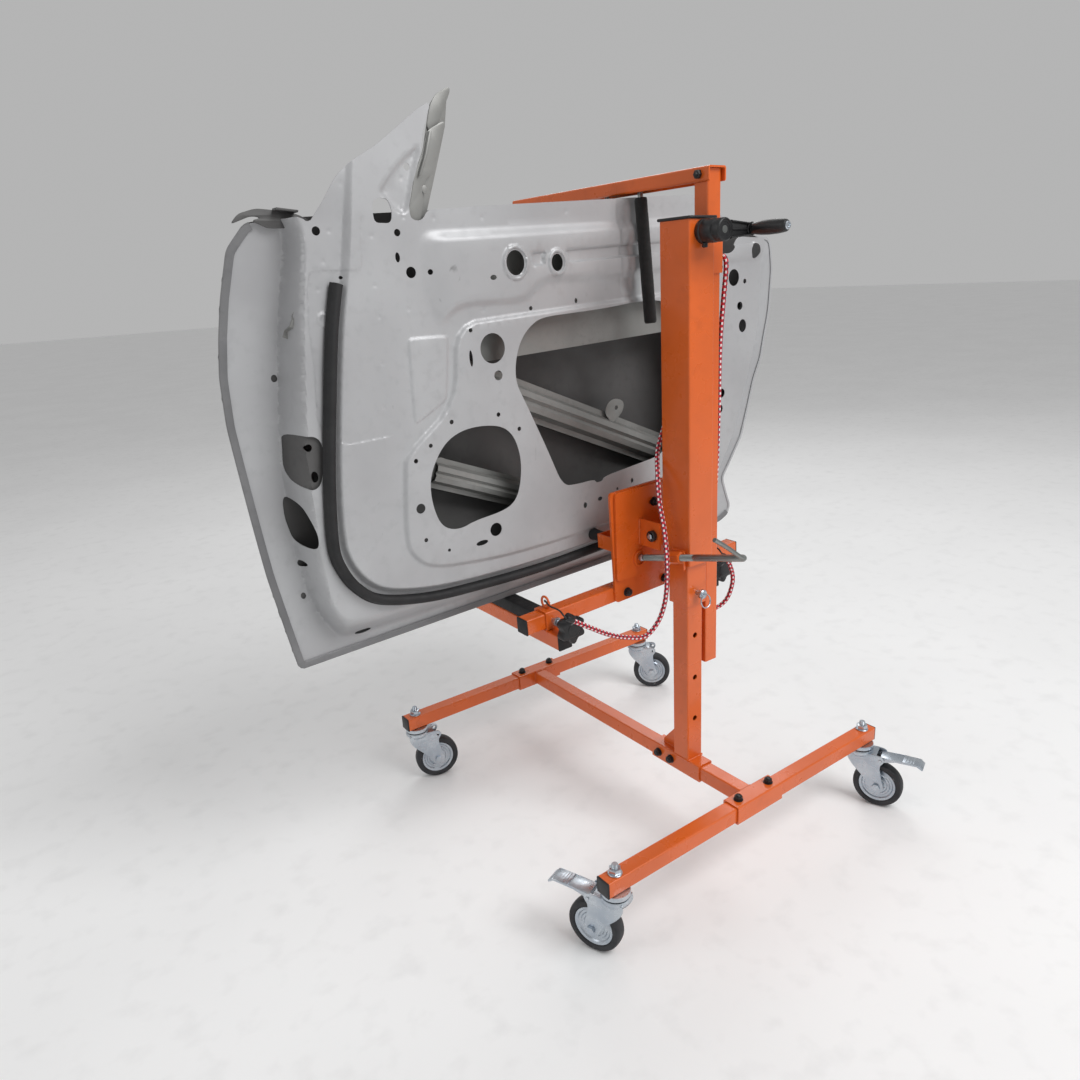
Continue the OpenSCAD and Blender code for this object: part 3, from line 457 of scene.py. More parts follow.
def make_stage(p):
    """Pale floor, soft light and the camera."""
    scene = bpy.context.scene
    data = bpy.data.cameras.new("camera")
    data.sensor_width = SENSOR
    data.lens = FOCAL * SENSOR
    camera = bpy.data.objects.new("camera", data)
    scene.collection.objects.link(camera)
    right = Vector((0.80551, -0.58999, -0.05531))
    down = Vector((-0.22185, -0.21370, -0.95138))
    ahead = Vector((0.54949, 0.77861, -0.30303))
    turn = Matrix((right, -down, -ahead)).transposed().to_4x4()
    camera.matrix_world = Matrix.Translation(CAMERA_AT) @ turn
    scene.camera = camera

    bpy.ops.object.select_all(action="DESELECT")
    bpy.ops.mesh.primitive_plane_add(size=60, location=(0, 0, 0))
    floor = bpy.context.active_object
    floor.name = "floor"
    floor.data.materials.append(finish("pale_floor", (0.9, 0.9, 0.9), (0.87, 0.87, 0.87), (0.6, 0.7), 2,
        (200, 0.02)))

    world = bpy.data.worlds.new("studio")
    scene.world = world
    world.use_nodes = True
    back = world.node_tree.nodes.get("Background") or world.node_tree.nodes.new("ShaderNodeBackground")
    put(back, {"Color": (1, 1, 1, 1), "Strength": p.room_light})
    for name, spot, aim, size, power in (("key", (0.8, -2.8, 3.6), (0, 0, 0.7), 2.2, 110),
            ("side", (-3.0, 0.6, 2.2), (0, 0, 0.8), 1.8, 12),
            ("back", (2.2, 2.4, 3.2), (0, 0, 0.9), 2.0, 32)):
        light = bpy.data.lights.new(name, "AREA")
        light.size = size
        light.energy = power
        lamp = bpy.data.objects.new(name, light)
        scene.collection.objects.link(lamp)
        lamp.location = spot
        lamp.rotation_euler = (Vector(aim) - Vector(spot)).to_track_quat("-Z", "Y").to_euler()
    scene.view_settings.view_transform = "Standard"
    scene.view_settings.look = "None"


# ---------------------------------------------------------------- bungee cord

CORD_ROUTE = [(-281, -168, 551), (-264, -168, 539), (-235, -168, 520), (-190, -168, 492), (-148, -169, 473),
    (-106, -174, 464), (-82, -182, 486), (-72, -190, 520), (-68, -194, 560), (-67, -194, 610),
    (-63, -184, 663), (-61, -170, 715), (-50, -155, 760), (-25, -130, 800), (2, -123, 850), (16, -122, 920),
    (20, -122, 1000), (24, -124, 1070), (46, -134, 1118), (70, -149, 1134), (82, -172, 1136),
    (82, -192, 1128), (77, -198, 1104), (74, -196, 1060), (73, -190, 980), (73, -188, 880), (74, -184, 780),
    (76, -176, 680), (78, -166, 590), (79, -156, 520), (84, -148, 474), (100, -146, 452), (122, -152, 454),
    (136, -162, 474), (142, -168, 510), (132, -169, 544), (113, -168, 569)]


def make_cord():
    path = spread(CORD_ROUTE, 4.5)
    cord = swept("bungee", path, ring(0, 0, 4.4, count=12))
    done(cord, "lift", "cord_cover", ["bungee_cord"], 60)
    hooks = []
    for end, before, eye in ((CORD_ROUTE[0], CORD_ROUTE[1], (-252.6, -64.6, 542)),
            (CORD_ROUTE[-1], CORD_ROUTE[-2], (139, -64.6, 556))):
        end, eye = Vector(end), Vector(eye)
        out = (end - Vector(before)).normalized()
        hooks.append(turned("ferrule", [(0, -16), (4.4, -16), (5.6, -13), (5.6, -1), (4.4, 1.5), (0, 1.5)],
            20, at(*end, out)))
        hooks.append(wire("hook_wire", [end - out * 6, end + out * 7, end + out * 10 + Vector((3, 16, 5)),
            end.lerp(eye, 0.55) + Vector((-11, 0, 9)), eye + Vector((-9, -12, 9)),
            eye + Vector((-4, -4, 4)), eye + Vector((2, 0, 0)), eye + Vector((7, -5, -2))], 1.6, 8))
    hooks = join("bungee_ends", hooks)
    done(hooks, "lift", "black_plastic", ["bungee_hooks"], 50)


# ---------------------------------------------------------------- door

RAISED_FACE = [(-483, 1330), (-494, 1280), (-503, 1230), (-514, 1180), (-523, 1140), (-541, 1075),
    (-562, 972), (-584, 852), (-595, 750), (-588, 708), (-566, 668), (-531, 641), (-453, 621), (-353, 611),
    (-217, 605), (-66, 607), (120, 611), (225, 617), (262, 640), (290, 680), (335, 742), (363, 811),
    (405, 921), (425, 1005), (431, 1143), (426, 1420), (-400, 1440)]
SEAL_LAND = [(-590, 597), (-620, 616), (-636, 661), (-634, 851), (-616, 983), (-592, 1131), (-572, 1210),
    (-590, 1262), (-560, 1320), (-440, 1420), (-260, 1460), (-240, 1275), (445, 1275), (446, 1143),
    (440, 1005), (420, 921), (379, 811), (351, 742), (315, 690), (282, 631), (262, 597)]
PANEL_EDGE = [(-686, 533), (-701, 697), (-708, 867), (-712, 946), (-709, 1022), (-700, 1079), (-688, 1135),
    (-669, 1202), (-639, 1236), (-600, 1240), (-572, 1239), (-561, 1230), (-537, 1257), (-513, 1290),
    (-486, 1311), (-440, 1334), (-371, 1379), (-347, 1392), (-342, 1390), (-362, 1346), (-368, 1323),
    (-382, 1292), (-393, 1269), (-401, 1240), (-398, 1226), (-380, 1224), (-368, 1240), (-232, 1242),
    (-14, 1243), (135, 1244), (226, 1243), (250, 1234), (266, 1200), (272, 1145), (284, 1130), (318, 1128),
    (332, 1134), (341, 1151), (356, 1159), (420, 1153), (500, 1149), (526, 1146), (531, 1130), (534, 1100),
    (535, 1086), (533, 1061), (531, 1042), (527, 1003), (520, 973), (513, 950), (497, 891), (471, 841),
    (455, 793), (427, 718), (387, 665), (361, 631), (371, 598), (384, 561), (370, 542), (339, 532)]
SKIN_EDGE = [(-688, 532), (-703, 697), (-710.5, 867), (-714.3, 946), (-711.3, 1022), (-702.3, 1079),
    (-690.3, 1135), (-671.3, 1203), (-640.3, 1237.5), (-600, 1242), (250, 1243), (330, 1226), (400, 1190),
    (470, 1166), (528, 1149), (534, 1131), (537, 1100), (538, 1086), (536, 1061), (534, 1042), (530, 1003),
    (523, 973), (516, 950), (500, 890), (474, 840), (458, 792), (430, 717), (390, 664), (364, 631),
    (374, 599), (387, 561), (372, 541), (341, 531)]
REAR_LINE = [(531, 364), (631, 364), (664, 390), (717, 430), (792, 458), (840, 474), (890, 500), (950, 516),
    (1003, 530), (1086, 538), (1260, 538)]
ACCESS = [(60, 1058), (-29, 1054), (-166, 1054), (-192, 1044), (-217, 1022), (-233, 986), (-236, 948),
    (-219, 911), (-179, 815), (-151, 741), (-118, 736), (-72, 736), (-70, 728), (-52, 728), (-50, 736),
    (60, 744), (109, 748), (200, 831), (205, 900), (184, 1031), (120, 1056)]
SPEAKER = [(-430, 806), (-421, 833), (-403, 859), (-382, 877), (-351, 887), (-313, 887), (-275, 879),
    (-253, 860), (-242, 828), (-241, 794), (-250, 755), (-266, 733), (-294, 725), (-352, 722), (-379, 715),
    (-404, 720), (-421, 736), (-430, 772)]
SAIL_WINDOW = [(-463, 1250), (-455, 1260), (-434, 1259), (-430, 1240), (-434, 1223), (-462, 1225)]
HINGE_CUTOUT = [(-634, 926), (-603, 921), (-596, 899), (-608, 849), (-620, 838), (-637, 842), (-641, 868)]
DRAIN_CUTOUT = [(-652, 815), (-645, 822), (-637, 812), (-630, 760), (-633, 740), (-641, 737), (-649, 752),
    (-654, 786)]
TRAPEZOID = [(-434, 1051), (-361, 1047), (-358, 1040), (-374, 942), (-381, 937), (-436, 910), (-442, 914)]
UPPER_FIELD = [(-395, 1204), (-340, 1202), (-14, 1199), (440, 1199), (440, 1112), (-14, 1107), (-100, 1112),
    (-140, 1116), (-172, 1106), (-196, 1084), (-335, 1090), (-372, 1060), (-400, 1120)]
LOWER_FIELD = [(-344, 1062), (-362, 935), (-466, 863), (-472, 840), (-488, 723), (-480, 690), (-445, 657),
    (-304, 638), (-164, 634), (130, 640), (215, 700), (250, 860), (240, 1068)]
SAIL_FIELD = [(-365, 1336), (-398, 1317), (-421, 1297), (-436, 1282), (-448, 1268), (-440, 1262),
    (-425, 1240), (-405, 1232), (-385, 1290)]
HINGE_OVERLAY = [(-484, 1236), (-486, 1221), (-494, 1160), (-572, 1164), (-581, 1135), (-588, 1081),
    (-590, 1022), (-599, 947), (-592, 917), (-560, 900), (-470, 900), (-400, 1236)]
ROUND_HOLES = [(-552, 1219, 6.5, 6.5), (-426, 1209, 5.5, 5.5), (-431, 1173, 4, 7.5), (-411, 1149, 8.7, 8.7),
    (-378, 1147, 4.4, 4.4), (-263, 1129, 6.4, 4.2), (-393, 1303, 5.6, 5.6), (-525, 1151, 2.5, 2.5),
    (-216, 1149, 18.5, 20.5), (-127, 1143, 12.5, 14.5), (-277, 1014, 25, 25.5), (-271, 967, 8.5, 8.5),
    (-317, 1049, 3.7, 3.7), (-322, 1003, 3.4, 13.6), (-279, 900, 4, 4), (-374, 904, 4, 4),
    (-238, 867, 4, 4), (-419, 872, 3.7, 3.7), (-450, 852, 4, 4), (-453, 770, 8.6, 8.6),
    (-451, 713, 3.8, 3.8), (-409, 683, 3, 3), (-309, 695, 12.4, 12.4), (-341, 678, 12.5, 4.6),
    (-186, 1071, 3.8, 3.8), (-84, 1074, 3.4, 4.6), (400, 1128, 14, 15.5), (340, 1079, 16, 17),
    (374, 1069, 5, 5), (358, 1020, 8.5, 8.5), (366, 978, 11.5, 13.5), (295, 975, 3.5, 8.2),
    (293, 949, 9, 9.4), (298, 844, 9.3, 9.7), (291, 811, 9.3, 9.7), (-629, 1010, 5, 6),
    (-645, 706, 4.5, 5.5), (-652, 650, 4.5, 5.5), (24, 712, 3.4, 5), (-16, 704, 3, 3), (-100, 690, 4.4, 6),
    (-62, 694, 6, 4.4), (-567, 562, 15, 4.6), (300, 590, 5, 6)]
RAISED_RIMS = ((-216, 1149, 18.5, 20.5), (-127, 1143, 12.5, 14.5))
SEAT = (-562, 1093)
WELD_SPOTS = [(-505, 1282), (-532, 1218), (-470, 1207), (-549, 1176), (-563, 1137), (-476, 1135),
    (-476, 1088), (-424, 1094), (-405, 1287), (-412, 1231), (-359, 1227), (-269, 1224), (-482, 1017),
    (-490, 949), (-503, 881), (-544, 797), (-546, 763), (-549, 723), (-93, 1226), (-284, 1078),
    (-177, 1092), (-61, 1081), (90, 1226), (280, 1226), (410, 1190), (330, 1140), (410, 960)]


def side_of(x, z, outline):
    """Distance of points from an outline in mm, positive inside."""
    poly = np.array(outline, float)
    nxt = np.roll(poly, -1, axis=0)
    best = np.full(x.shape, 1e12)
    inside = np.zeros(x.shape, bool)
    for (ax, az), (bx, bz) in zip(poly, nxt):
        dx, dz = bx - ax, bz - az
        t = np.clip(((x - ax) * dx + (z - az) * dz) / (dx * dx + dz * dz + 1e-9), 0, 1)
        best = np.minimum(best, (x - ax - t * dx) ** 2 + (z - az - t * dz) ** 2)
        if az != bz:
            inside ^= ((az > z) != (bz > z)) & (x < (bx - ax) * (z - az) / (bz - az) + ax)
    return np.where(inside, 1, -1) * np.sqrt(best)


def ease(t):
    t = np.clip(t, 0, 1)
    return t * t * (3 - 2 * t)


def soften(outline, reach, times=2):
    """Cuts the corners of an outline, each by at most a reach in mm."""
    pts = [np.array(p, float) for p in outline]
    for _ in range(times):
        cut = []
        for k, b in enumerate(pts):
            a, c = pts[k - 1], pts[(k + 1) % len(pts)]
            for other in (a, c):
                far = np.linalg.norm(other - b)
                cut.append(b + (other - b) * min(0.25, reach / max(far, 1e-6)))
        pts = cut
        reach *= 0.5
    return [tuple(p) for p in pts]


def stepped(outline, step):
    """Points at even steps round a closed outline."""
    pts = np.array([*outline, outline[0]], float)
    run = np.concatenate([[0], np.cumsum(np.linalg.norm(np.diff(pts, axis=0), axis=1))])
    count = max(8, int(run[-1] / step))
    wanted = np.linspace(0, run[-1], count, endpoint=False)
    return np.stack([np.interp(wanted, run, pts[:, 0]), np.interp(wanted, run, pts[:, 1])], 1)


FACE_IN = soften(RAISED_FACE, 40, 3)
LAND_IN = soften(SEAL_LAND, 40, 3)
UPPER_IN = soften(UPPER_FIELD, 22, 2)
LOWER_IN = soften(LOWER_FIELD, 26, 2)
TRAP_IN = soften(TRAPEZOID, 6, 2)
SAIL_IN = soften(SAIL_FIELD, 10, 2)
OVERLAY_IN = soften(HINGE_OVERLAY, 5, 1)


def skin_depth(x, z):
    """Depth of the outer skin in mm: a long barrel that turns in along its rear edge."""
    barrel = SKIN_AXIS_Y + np.sqrt(np.maximum(SKIN_R**2 - (z - SKIN_AXIS_Z) ** 2, 0))
    rear = np.interp(z, [p[0] for p in REAR_LINE], [p[1] for p in REAR_LINE])
    return barrel - np.maximum(barrel - 66, 0) * np.clip((x - rear + 170) / 170, 0, 1) ** 1.6


def relief(x, z):
    """Depth of the pressed panel behind the face plane, in mm."""
    face = side_of(x, z, FACE_IN)
    land = side_of(x, z, LAND_IN)
    fade_sail = ease((z - 1225) / 70)
    y = (12 - 6 * fade_sail) * ease((5 - face) / 11)
    low = ease((665 - z) / 50) * ease((x + 640) / 40)
    out = 12 + 36 * low
    t = ease((5 - land) / (5 + out))
    y = y + (skin_depth(x, z) - 4.2 - y) * t
    flat = 1 - t
    y = y - 9 * ease((side_of(x, z, UPPER_IN) + 8) / 20) * flat * ease((x + 400) / 60)
    y = y - 6 * ease((side_of(x, z, LOWER_IN) + 3) / 9) * flat
    y = y - 2.6 * ease((side_of(x, z, TRAP_IN) + 1) / 6)
    y = y + 5 * ease((side_of(x, z, SAIL_IN) + 2) / 9)
    y = y + 1.3 * ease((side_of(x, z, OVERLAY_IN) + 0.5) / 1.6) * ease(
        (1300 - z) / 60) * ease((-470 - x) / 30)
    groove = ease((x + 188) / 14) * ease((410 - x) / 20)
    for cx, cz, rx, rz in RAISED_RIMS:
        d = np.hypot((x - cx) / rx, (z - cz) / rz) * rx - rx
        groove = groove * ease((d - 12) / 6)
        y = y - 3.4 * ease((d - 1) / 2.5) * ease((9 - d) / 3.5)
    y = y + 6.5 * groove * ease((z - 1139) / 6) * ease((1166 - z) / 7)
    y = y + 5 * ease((x - 22) / 9) * ease((58 - x) / 9) * ease((z - 1070) / 20) * ease((1245 - z) / 20)
    for cx, cz in WELD_SPOTS:
        d2 = (x - cx) ** 2 + (z - cz) ** 2
        y = y + 0.8 * np.exp(-d2 / 11.0)
    d = np.hypot(x - SEAT[0], z - SEAT[1])
    y = y - 1.6 * ease((11.5 - d) / 2) + 1.2 * ease((7 - d) / 2)
    return y


def panel_points(loops):
    """Background and contour points for the panel's triangulation."""
    gx, gz = np.meshgrid(np.arange(-716, 544, 4.0), np.arange(532, 1396, 4.0), indexing="ij")
    y = relief(gx, gz)
    bend = np.zeros_like(y)
    bend[1:-1, 1:-1] = np.abs(y[2:, 1:-1] + y[:-2, 1:-1] + y[1:-1, 2:] + y[1:-1, :-2] - 4 * y[1:-1, 1:-1])
    i, j = np.indices(y.shape)
    keep = (bend > 0.16) | ((bend > 0.05) & (i % 2 == 0) & (j % 2 == 0)) | ((i % 4 == 0) & (j % 4 == 0))
    pts = np.stack([gx[keep], gz[keep]], 1)
    extra = []
    for outline, offsets in ((TRAP_IN, (-2, 0.5, 3, 5.5)), (OVERLAY_IN, (-0.8, 0.3, 1.4)),
            (LOWER_IN, (-4, -1, 2, 6)), (SAIL_IN, (-2, 2, 7)), (FACE_IN, (-6, -4, -1.5, 1, 3.5, 5.5)),
            (LAND_IN, (-12, -9, -6, -3, 0, 3, 5.5))):
        line = stepped(outline, 5.0)
        nxt, prv = np.roll(line, -1, axis=0), np.roll(line, 1, axis=0)
        t = nxt - prv
        t /= np.linalg.norm(t, axis=1)[:, None] + 1e-9
        normal = np.stack([-t[:, 1], t[:, 0]], 1)
        for off in offsets:
            extra += [line + normal * off, line - normal * off]
    for cx, cz, rx, rz in RAISED_RIMS:
        for off in (1.2, 3.4, 5.6, 7.6, 9.4, 13):
            extra.append(np.array(ring(cx, cz, rx + off, rz + off, 36)))
    for cx, cz in WELD_SPOTS:
        extra += [np.array([(cx, cz)]), np.array(ring(cx, cz, 2.4, count=6)),
            np.array(ring(cx, cz, 4.8, count=8)), np.array(ring(cx, cz, 7.5, count=8))]
    extra += [np.array(ring(*SEAT, r, count=n)) for r, n in ((5.5, 16), (8.5, 20), (11.5, 20))]
    pts = np.concatenate([pts, *extra])
    clear = np.ones(len(pts), bool)
    for loop in loops:
        lo, hi = loop.min(0) - 4, loop.max(0) + 4
        near = np.all((pts > lo) & (pts < hi), axis=1) & clear
        if near.any():
            d = np.abs(side_of(pts[near, 0], pts[near, 1], loop))
            clear[np.where(near)[0][d < 1.1]] = False
    pts = pts[clear]
    cell = {}
    for k, (x, z) in enumerate(np.round(pts / 1.3).astype(int)):
        cell.setdefault((x, z), k)
    return pts[sorted(cell.values())]


def grid_points(xs, zs):
    """Points of a grid, from two ranges."""
    gx, gz = np.meshgrid(np.arange(*xs), np.arange(*zs), indexing="ij")
    return np.stack([gx.ravel(), gz.ravel()], 1)


def sheet_metal(name, loops, pts, depth_of, thick=1.2):
    """A pressed sheet in the door's frame: outline and holes, points between them, and their depths."""
    coords = [Vector(p) for p in pts]
    edges = []
    for loop in loops:
        first, count = len(coords), len(loop)
        coords += [Vector(p) for p in loop]
        edges += [(first + k, first + (k + 1) % count) for k in range(count)]
    verts, _, tris, *_ = delaunay_2d_cdt(coords, edges, [], 0, 1e-5)
    flat = np.array([(v.x, v.y) for v in verts])
    tris = np.array([t for t in tris if len(t) == 3])
    centre = flat[tris].mean(1)
    keep = side_of(centre[:, 0], centre[:, 1], loops[0]) > 0
    for loop in loops[1:]:
        lo, hi = loop.min(0), loop.max(0)
        near = np.where(keep & np.all((centre > lo) & (centre < hi), axis=1))[0]
        if len(near):
            keep[near[side_of(centre[near, 0], centre[near, 1], loop) > 0]] = False
    tris = tris[keep]
    used, index = np.unique(tris, return_inverse=True)
    tris = index.reshape(tris.shape)
    flat = flat[used]
    depth = depth_of(flat[:, 0], flat[:, 1])
    points = [tuple(c * MM for c in rolled(x, y, z)) for (x, z), y in zip(flat, depth)]
    sheet = new_mesh(name, points, [tuple(map(int, t)) for t in tris])
    return modify(sheet, "SOLIDIFY", thickness=thick * MM, offset=-1)


def make_inner_panel():
    """The pressed inner panel with its sail, swages, holes and hinge side wall."""
    edge = soften(PANEL_EDGE, 5, 1)
    loops = [stepped(edge, 4.5)]
    for outline, reach in ((ACCESS, 16), (SPEAKER, 12), (SAIL_WINDOW, 4), (HINGE_CUTOUT, 6),
            (DRAIN_CUTOUT, 5)):
        loops.append(stepped(soften(outline, reach, 3), 3.0))
    for x, z, rx, rz in ROUND_HOLES:
        loops.append(np.array(ring(x, z, rx, rz, 28 if max(rx, rz) > 7 else 16)))
    pts = panel_points(loops)
    panel = sheet_metal("door_panel", loops, pts, relief)
    return done(panel, "carriage", "bare_panel", ["door_inner_panel", "door_side_walls"], 42)


def make_outer_skin():
    """The outer skin, the hem folded round its edge and the plate behind the hinge cut-out."""
    edge = stepped(soften(SKIN_EDGE, 5, 1), 7)
    pts = grid_points((-700, 540, 20.0), (546, 1240, 14.0))
    pts = pts[side_of(pts[:, 0], pts[:, 1], edge) > 6]
    skin = sheet_metal("door_skin", [edge], pts, lambda x, z: skin_depth(x, z) - 1.2)
    # The skin's near-black finish is painted shade of the door's hollow inside.
    done(skin, "carriage", "dark_panel", ["door_outer_skin"], 42)

    line = np.array([(x, float(skin_depth(x, z)) - 3.2, z) for x, z in stepped(soften(SKIN_EDGE, 5, 2), 6)])
    top = int(np.argmax(np.where(line[:, 0] > 200, line[:, 2] - line[:, 0] * 0.01, 0)))
    front = int(np.argmax(line[:, 2] - 0.2 * line[:, 0]))
    around = [*range(top, len(line)), *range(0, front + 1)]
    corner = next(k for k, n in enumerate(around) if line[n][0] < 376 and line[n][2] < 545)
    bead = [(-0.6, -2.2), (0, -2.9), (10.6, -2.9), (11.2, -2.4), (11.2, -1.4), (1, -1.0), (1, 2.2),
        (-0.6, 2.6)]
    # The front hem gets the darker hem finish as painted shade on the shadowed hinge side; the rear hem
    # keeps the lit panel grey.
    for name, part, wide, paint in (("door_hem_rear", around[:corner + 1], 0.45, "bare_panel"),
            ("door_hem", around[corner:], 1.0, "shaded_hem_paint")):
        hem = swept(name, [rolled(*line[k]) for k in part],
            [(a * wide if a > 1 else a, b) for a, b in bead])
        done(hem, "carriage", "dark_panel", (), 40, paint)

    loop = stepped(soften([(-650, 935), (-585, 928), (-580, 835), (-645, 826)], 8, 2), 4)
    holes = [np.array(ring(-619, 905, 6, 6, 18)), np.array(ring(-617, 858, 6, 9, 18))]
    pts = grid_points((-648, -580, 6.0), (830, 936, 6.0))
    x, z = pts[:, 0], pts[:, 1]
    pts = pts[(side_of(x, z, loop) > 2) & (side_of(x, z, holes[0]) < -2) & (side_of(x, z, holes[1]) < -2)]
    backing = sheet_metal("hinge_plate", [loop, *holes], pts, lambda x, z: relief(x, z) + 6)
    # The plate's near-black finish is painted shade behind the hinge cut-out.
    done(backing, "carriage", "dark_panel")


def strip(name, outline, y0, y1, edge=0.6, holes=()):
    """A plate in the door's frame between two depths in mm."""
    turn = Matrix(((1, 0, 0, 0), (0, 0, -1, 0), (0, 1, 0, 0), (0, 0, 0, 1)))
    obj = plate(name, outline, y1 - y0, edge, holes)
    return settle(obj, ROLLED @ moved(0, (y0 + y1) / 2, 0) @ turn)


def make_door_fittings():
    """Seal, sail uprights, beams, belt rail and the front bracket."""
    path = [(-536, 1143), (-541, 1128), (-557, 1068), (-577, 970), (-599, 850), (-611, 748), (-604, 701),
        (-582, 660), (-543, 628), (-458, 605), (-355, 595), (-217, 589), (-66, 591), (120, 595), (225, 601)]
    line = spread([rolled(x, 3, z) for x, z in path], 7)
    bulb = [(-9, -6), (-9, 2), (-7.5, 6), (-4, 8.2), (0, 8.8), (4, 7.4), (6.4, 3.6), (6.8, -1), (9.5, -4),
        (9.5, -6)]
    seal = swept("weather_seal", line, [(a, -b) for a, b in bulb])
    done(seal, "carriage", "black_rubber", ["door_seal"], 40)

    blade = strip("blade_a", soften([(-326, 1405), (-301, 1417), (-297, 1412), (-323, 1368), (-340, 1352),
        (-347, 1360), (-338, 1388)], 4, 2), 9, 11)
    post = strip("blade_b", soften([(-349, 1354), (-318, 1368), (-315, 1362), (-334, 1324), (-345, 1306),
        (-348, 1293), (-361, 1285), (-371, 1272), (-370, 1258), (-378, 1229), (-383, 1215), (-395, 1215),
        (-399, 1238), (-380, 1293), (-363, 1322)], 4, 2), 5, 7, holes=[ring(-366, 1270, 5, 6, 20)])
    fold = strip("blade_fold", [(-349, 1352), (-345, 1352), (-357, 1318), (-372, 1290), (-376, 1290),
        (-361, 1320)], -2, 6, 0.3)
    back = strip("blade_back", soften([(-334, 1396), (-300, 1416), (-312, 1360), (-332, 1310), (-352, 1262),
        (-372, 1215), (-392, 1215), (-372, 1280), (-352, 1340)], 6, 2), 13, 15)
    uprights = join("sail_uprights", [blade, post, fold, back])
    done(uprights, "carriage", "dark_panel", ["door_reinforcements"], paint="inner_steel")

    beams = []
    hat = [(-34, 0), (-24, 0), (-17, -17), (-6, -20), (0, -15), (6, -20), (17, -17), (24, 0), (34, 0),
        (34, 1.6), (23, 1.6), (15, -15), (6, -18), (0, -13), (-6, -18), (-15, -15), (-23, 1.6), (-34, 1.6)]
    for name, (x0, z0), (x1, z1), y, k in (("beam_a", (-600, 1103), (292, 676), 56, 1.0),
            ("beam_b", (-392, 812), (10, 626), 52, 0.82)):
        line = spread([rolled(x0, y, z0), rolled((x0 + x1) / 2, y + 4, (z0 + z1) / 2 + 2),
            rolled(x1, y, z1)], 30)
        beams.append(swept(name, line, [(a * k, b * k) for a, b in hat]))
    ear = strip("beam_ear", soften([(60, 842), (64, 862), (40, 872), (20, 866), (10, 846), (30, 820)], 6,
        2), 51, 53, holes=[ring(42, 852, 4, 4.5, 16)])
    ear_b = strip("beam_ear_b", soften([(-398, 830), (-370, 838), (-350, 812), (-372, 788), (-396, 794)], 8,
        2), 49, 51, holes=[ring(-377, 811, 4.5, 3.5, 16)])
    beams = join("impact_beams", [*beams, ear, ear_b])
    done(beams, "carriage", "dark_panel", ["door_impact_beams"], 30, "inner_steel")

    rail = [(-10, 0), (10, 0), (10, 1.5), (-10, 1.5)]
    section = [(-128, -4), (-128, -2.6), (60, -2.6), (66, -12), (96, -12), (104, -2), (118, 0), (118, -1.6),
        (105, -3.6), (97, -13.6), (65, -13.6), (59, -4.2)]
    line = [rolled(x, 22, 1118) for x in (-300, -120, 60, 180, 232)]
    belt = swept("belt_rail", line, [(-a, -b) for a, b in section])
    done(belt, "carriage", "bare_panel", (), 30, "inner_steel")

    bracket = strip("belt_bracket", soften([(-664, 1236), (-650, 1250), (-624, 1256), (-592, 1252),
        (-563, 1246), (-541, 1233), (-560, 1226), (-610, 1228), (-633, 1240), (-617, 1243), (-632, 1246)],
        4, 2), 46, 50, 0.8)
    lip = strip("belt_lip", [(-600, 1252), (-598, 1255), (-566, 1250), (-567, 1247)], 30, 49, 0.5)
    bracket = join("front_bracket", [bracket, lip])
    done(bracket, "carriage", "dark_panel")


# ---------------------------------------------------------------- fasteners and knobs


def cap_head(name, x, y, z, direction, d=15, h=9):
    """Black nylon bolt cap with a ribbed side, its foot at the point."""
    lobes = []
    for k in range(24):
        r = d / 2 if k % 2 else d / 2 - 0.7
        lobes.append((r * math.cos(k * math.tau / 24), r * math.sin(k * math.tau / 24)))
    body = plate(name, lobes, h * 0.75, 0.7)
    settle(body, moved(0, 0, 1.5 + h * 0.375))
    washer = turned(name + "_washer", [(0, 0), (d * 0.56, 0), (d * 0.6, 0.5), (d * 0.6, 1.3),
        (d * 0.5, 1.8), (0, 1.8)], 24)
    top = turned(name + "_top", [(0, h * 0.7), (d * 0.36, h * 0.7), (d * 0.34, h + 1), (d * 0.26, h + 1.9),
        (d * 0.24, h + 1.2), (0, h + 1.0)], 24)
    return settle(join(name, [body, washer, top]), at(x, y, z, direction))


def hex_nut(name, x, y, z, direction, flats=13, h=6.5, stud=4.0, tail=3.0):
    """Hexagon nut on the end of a threaded stud."""
    r = flats / math.sqrt(3)
    body = plate(name, ring(0, 0, r, count=6), h, 0.6)
    settle(body, moved(0, 0, h / 2))
    profile = [(0, -1), (stud, -1)]
    for k in range(int((h + tail) / 1.2)):
        profile += [(stud, k * 1.2), (stud - 0.45, k * 1.2 + 0.6)]
    profile += [(stud - 1, h + tail), (0, h + tail)]
    thread = turned(name + "_stud", profile, 20)
    return settle(join(name, [body, thread]), at(x, y, z, direction))


